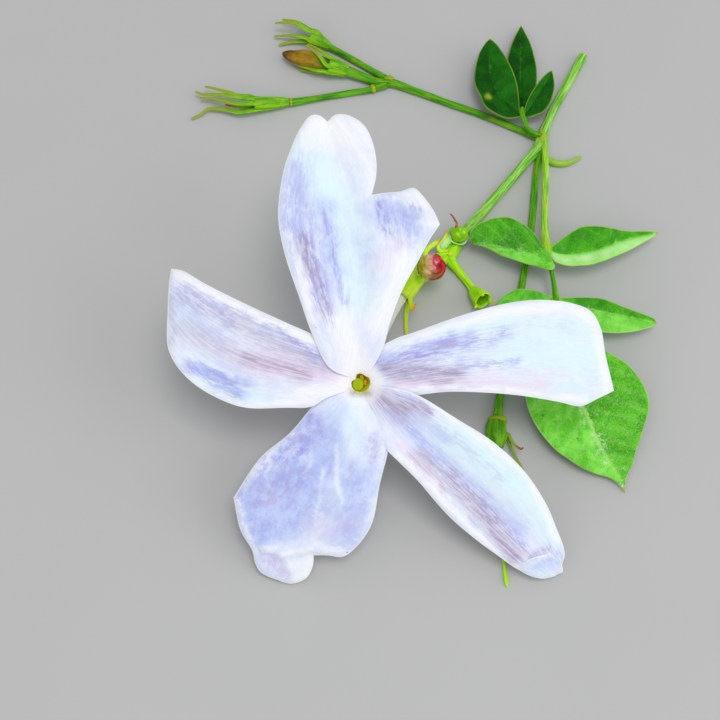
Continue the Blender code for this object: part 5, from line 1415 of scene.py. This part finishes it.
# Leaves. Each leaflet is (midrib, left edge, right edge, fold, light), from foot to tip. light holds
# the painted light and shade of its left and right halves, the lit one lighter, and how scarred it is.
lower_rachis = [
    (18.1, 29, 0.9, 0.34), (18.1, 27.7, 1.05, 0.36), (18.05, 26.2, 1.25, 0.33), (17.95, 24.7, 1.45, 0.34),
    (17.72, 21.8, 1.8, 0.34), (17.5, 18.9, 2.2, 0.35), (17.5, 17, 2.42, 0.42), (17.6, 16.2, 2.5, 0.46),
    (17.68, 15.7, 2.48, 0.3),
]
lower_rachis_end = [
    (17.6, 16.1, 2.42, 0.3), (17.78, 14.8, 2.38, 0.24), (18, 13, 2.35, 0.24), (18.15, 11.25, 2.36, 0.3),
    (18.4, 9, 2.28, 0.24), (18.55, 7.2, 2.2, 0.22),
]
lower_leaflets = [
    (
        [(17.4, 16.12, 2.6), (16.9, 15.9, 2.62), (16, 15.68, 2.6), (14.8, 15.85, 2.5),
         (13.5, 16.35, 2.36), (12.25, 16.72, 2.24), (11.3, 16.86, 2.12), (10.7, 16.88, 2)],
        [(17.5, 15.97), (17.84, 15.34), (17.95, 14.72), (18.14, 14.15), (17.9, 13.78), (17.35, 13.83),
         (16.42, 14.21), (15.67, 14.5), (14.69, 14.89), (13.47, 15.42), (12.63, 15.97), (11.79, 16.5),
         (11.19, 16.82)],
        [(17.27, 16.2), (16.67, 17.12), (16.08, 17.92), (15.35, 18.59), (14.62, 19.1), (13.75, 19.38),
         (12.88, 19.35), (11.88, 19.05), (11, 18.62), (10.45, 18), (10.42, 17.37)],
        0.5, (0.85, 0.05, 0.45),
    ),
    (
        [(17.79, 16.07, 2.5), (18.38, 15.8, 2.5), (19.24, 15.64, 2.48), (20.74, 15.69, 2.44),
         (21.76, 15.92, 2.38), (23.05, 16.42, 2.28), (24.38, 17.06, 2.12), (25.7, 17.57, 1.95),
         (27.31, 18.03, 1.75), (28.4, 18.35, 1.6)],
        [(17.79, 16.23), (18.54, 16.79), (19.32, 17.38), (20.23, 17.97), (21.12, 18.35), (22.14, 18.5),
         (23.29, 18.48), (24.43, 18.34), (25.6, 18.29), (26.79, 18.38), (27.72, 18.43)],
        [(17.78, 15.92), (17.89, 15.34), (18.1, 14.82), (18.68, 14.5), (19.65, 14.33), (20.63, 14.34),
         (21.64, 14.5), (22.66, 14.82), (23.97, 15.44), (25.3, 16.18), (26.54, 16.96), (27.53, 17.63)],
        0.5, (0, 1.7, 0.15),
    ),
    (
        [(18.04, 11.22, 2.4), (17.12, 10.83, 2.3), (15.74, 10.59, 2.1), (14.11, 10.63, 1.8),
         (12.57, 10.87, 1.45)],
        [(18.06, 11.07), (17.65, 10.37), (16.8, 9.78), (15.51, 9.5), (14.25, 9.76), (13.28, 10.32)],
        [(18.04, 11.3), (17.31, 11.53), (16.6, 11.95), (15.75, 12.23), (14.9, 12.33), (14.04, 12.1),
         (13.3, 11.61)],
        -0.1, (0.4, 0.6, 0),
    ),
    (
        [(18.25, 11.22, 2.4), (19.06, 10.76, 2.38), (20.33, 10.31, 2.32), (21.8, 9.99, 2.22),
         (23.37, 9.7, 2.05), (24.96, 9.44, 1.86), (26.38, 9.21, 1.66), (27.5, 9.06, 1.48)],
        [(18.25, 11.27), (18.65, 11.22), (19.51, 11.2), (20.38, 11.27), (21.38, 11.31), (22.5, 11.24),
         (23.48, 10.92), (24.46, 10.5), (25.57, 10.1), (26.58, 9.78), (27.29, 9.46)],
        [(18.2, 11.07), (18.3, 10.36), (18.8, 9.44), (19.59, 8.69), (20.76, 8.16), (22.16, 7.89),
         (23.53, 7.81), (24.8, 7.97), (26.09, 8.28), (27.14, 8.73)],
        -0.1, (0.1, 1.3, 0.1),
    ),
    (
        [(18.49, 7.43, 2.2), (18.81, 5.82, 2.27), (19.16, 4.05, 2.28), (19.61, 2.13, 2.21),
         (20.11, 0.45, 2.07), (20.66, -0.98, 1.89), (21.16, -2.31, 1.67), (21.78, -3.6, 1.39),
         (22.41, -4.66, 1.1), (23.11, -5.72, 0.77), (23.62, -7, 0.35)],
        [(18.58, 7.43), (19.44, 7.22), (20.7, 6.86), (22.37, 6.03), (23.35, 5.48), (24.31, 4.83),
         (25.15, 3.89), (25.77, 2.86), (26.1, 1.82), (26.15, 0.69), (25.93, -0.18), (25.56, -1.18),
         (25.18, -2.21), (24.75, -3.28), (24.42, -4.38), (23.96, -5.25), (23.69, -5.87)],
        [(18.4, 7.43), (17.41, 6.93), (16.36, 6.03), (15.57, 4.84), (15.14, 3.46), (14.96, 2.2),
         (15.01, 1.15), (15.25, 0.12), (15.77, -1.04), (16.5, -2.22), (17.46, -3.28), (18.43, -4.06),
         (19.51, -4.75), (20.4, -5.17), (21.39, -5.46), (22.27, -5.69), (22.93, -6.1), (23.32, -6.56)],
        -0.35, (0.3, 0.85, 1),
    ),
]
upper_rachis = [
    (18.1, 29.2, 0.85, 0.28), (17.75, 29.35, 1, 0.3), (16.9, 29.6, 1.25, 0.28),
    (16.35, 30.15, 1.45, 0.27), (16.15, 30.8, 1.55, 0.28), (16, 31.4, 1.58, 0.32),
    (16.05, 32.2, 1.42, 0.22),
]
upper_leaflets = [
    (
        [(15.8, 31.3, 1.6), (15.28, 31.72, 1.66), (14.73, 32.22, 1.75), (14.02, 32.95, 1.84),
         (13.53, 33.8, 1.93), (13.18, 34.7, 1.98), (12.94, 36.25, 2.02), (12.9, 38.12, 2.02),
         (13.07, 40.06, 1.95)],
        [(15.75, 31.1), (14.95, 30.82), (14.36, 30.78), (13.68, 31), (13.06, 31.3), (12.41, 31.75),
         (12.08, 32.35), (11.88, 33), (11.57, 33.75), (11.34, 34.64), (11.34, 35.55), (11.51, 36.71),
         (11.9, 38.13), (12.44, 39.21)],
        [(15.75, 31.5), (15.72, 32.07), (15.7, 33.15), (15.62, 34.03), (15.4, 35.13), (15.03, 36.38),
         (14.49, 37.77), (13.84, 39.08)],
        0.2, (0.15, 0.5, 0),
    ),
    (
        [(16.2, 31.33, 1.6), (16.63, 31.79, 1.68), (17.1, 32.55, 1.78), (17.59, 33.42, 1.86),
         (18.24, 34.54, 1.9), (18.78, 35.48, 1.9), (19.13, 36.34, 1.86)],
        [(16.18, 31.44), (16.25, 32.06), (16.47, 32.69), (16.81, 33.44), (17.34, 34.32), (17.97, 35.24),
         (18.61, 35.96)],
        [(16.34, 31.1), (16.58, 30.93), (17.24, 31.14), (18.06, 31.49), (18.62, 32.17), (19.01, 33.17),
         (19.26, 34.19), (19.27, 35.37)],
        0.15, (0.7, 0.25, 0),
    ),
    (
        [(16.05, 31.8, 1.4), (16.05, 33.37, 1.1), (16.09, 35.21, 0.95), (16.16, 37.63, 0.85),
         (16.28, 40.12, 0.7), (16.47, 42.72, 0.45)],
        [(16, 31.8), (15.18, 32.91), (14.76, 34.39), (14.59, 36.18), (14.83, 38.26), (15.43, 40.4)],
        [(16.1, 31.8), (16.87, 32.79), (17.45, 34.28), (17.74, 36.18), (17.65, 38.26), (17.26, 40.4)],
        0.1, (0.1, 0.3, 0),
    ),
]
leaves = (
    ("leaf_lower", lower_leaflets, leaf_green,
     [(lower_rachis, rachis_green), (lower_rachis_end, shoot_green)]),
    ("leaf_upper", upper_leaflets, leaf_dark, [(upper_rachis, shoot_green)]),
)
for node, leaflets, blade_green, stretches in leaves:
    for number, (rachis, green) in enumerate(stretches, start=1):
        shape = tube(Shape(), rachis, 24, 0.2, ribs=2, rib=0.08, rough=0.07, seed=14)
        shape.build(green, "leaf", node, name=f"{node}_rachis_{number}")
    shape = Shape()
    for number, row in enumerate(leaflets):
        leaflet(shape, *row, number * 3 + 2)
    shape.build(blade_green, "leaf", node, name=f"{node}_blades")

# A plain pale floor, soft light and the camera over the bloom's face
floor_finish = Finish("floor", 0.75, specular=0.15)
floor_finish.painted = floor_finish.mix(floor_finish.noise(0.05, 2.0), (0.5, 0.5, 0.49), (0.53, 0.53, 0.52))
floor_mesh = bpy.data.meshes.new("floor")
floor_mesh.from_pydata([(-1, -1, 0), (1, -1, 0), (1, 1, 0), (-1, 1, 0)], [], [(0, 1, 2, 3)])
floor_mesh.materials.append(floor_finish.done())
floor = linked("floor", floor_mesh)
floor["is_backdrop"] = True

centre = Vector((*THROAT_IN_ROW, THROAT_HEIGHT)) * MM
for name, offset, size, watts, colour in (
    ("key", (0.07, -0.05, 0.58), 0.24, 1.22, (1.0, 0.99, 0.975)),
    ("fill", (0.32, -0.1, 0.22), 0.3, 0.4, (0.94, 0.97, 1.0)),
    ("low", (-0.2, -0.3, 0.16), 0.3, 0.25, (0.96, 0.97, 1.0)),
):
    light = bpy.data.lights.new(name, "AREA")
    light.size, light.energy, light.color = size, watts, colour
    lamp = linked(name, light)
    lamp.location = centre + Vector(offset)
    lamp.rotation_euler = Vector(offset).to_track_quat("Z", "Y").to_euler()
world = bpy.data.worlds.new("studio")
bpy.context.scene.world = world
world.use_nodes = True
sky = world.node_tree.nodes["Background"].inputs
sky["Color"].default_value = (0.95, 0.97, 1.0, 1.0)
sky["Strength"].default_value = 0.5

camera_data = bpy.data.cameras.new("camera")
camera_data.sensor_width = SENSOR_WIDTH
camera_data.lens = SENSOR_WIDTH * CAMERA_DISTANCE / (FRAME_PIXELS * MM_PER_PIXEL)
camera_data.clip_start = 0.01
camera = linked("camera", camera_data)
aim = THROAT + CAMERA_AIM_UP * FACE_UP + CAMERA_DISTANCE * FACE_OUT + np.array((*THROAT_IN_ROW, 0.0))
camera.matrix_world = Matrix.Translation(Vector(aim * MM)) @ Matrix(FACE_AXES.T.tolist()).to_4x4()
bpy.context.scene.camera = camera
bpy.context.scene.view_settings.view_transform = "Standard"

boxes = {"cad": cad_box, "visual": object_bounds()}
{name: [[float(v) for v in corner] for corner in box] for name, box in boxes.items()}
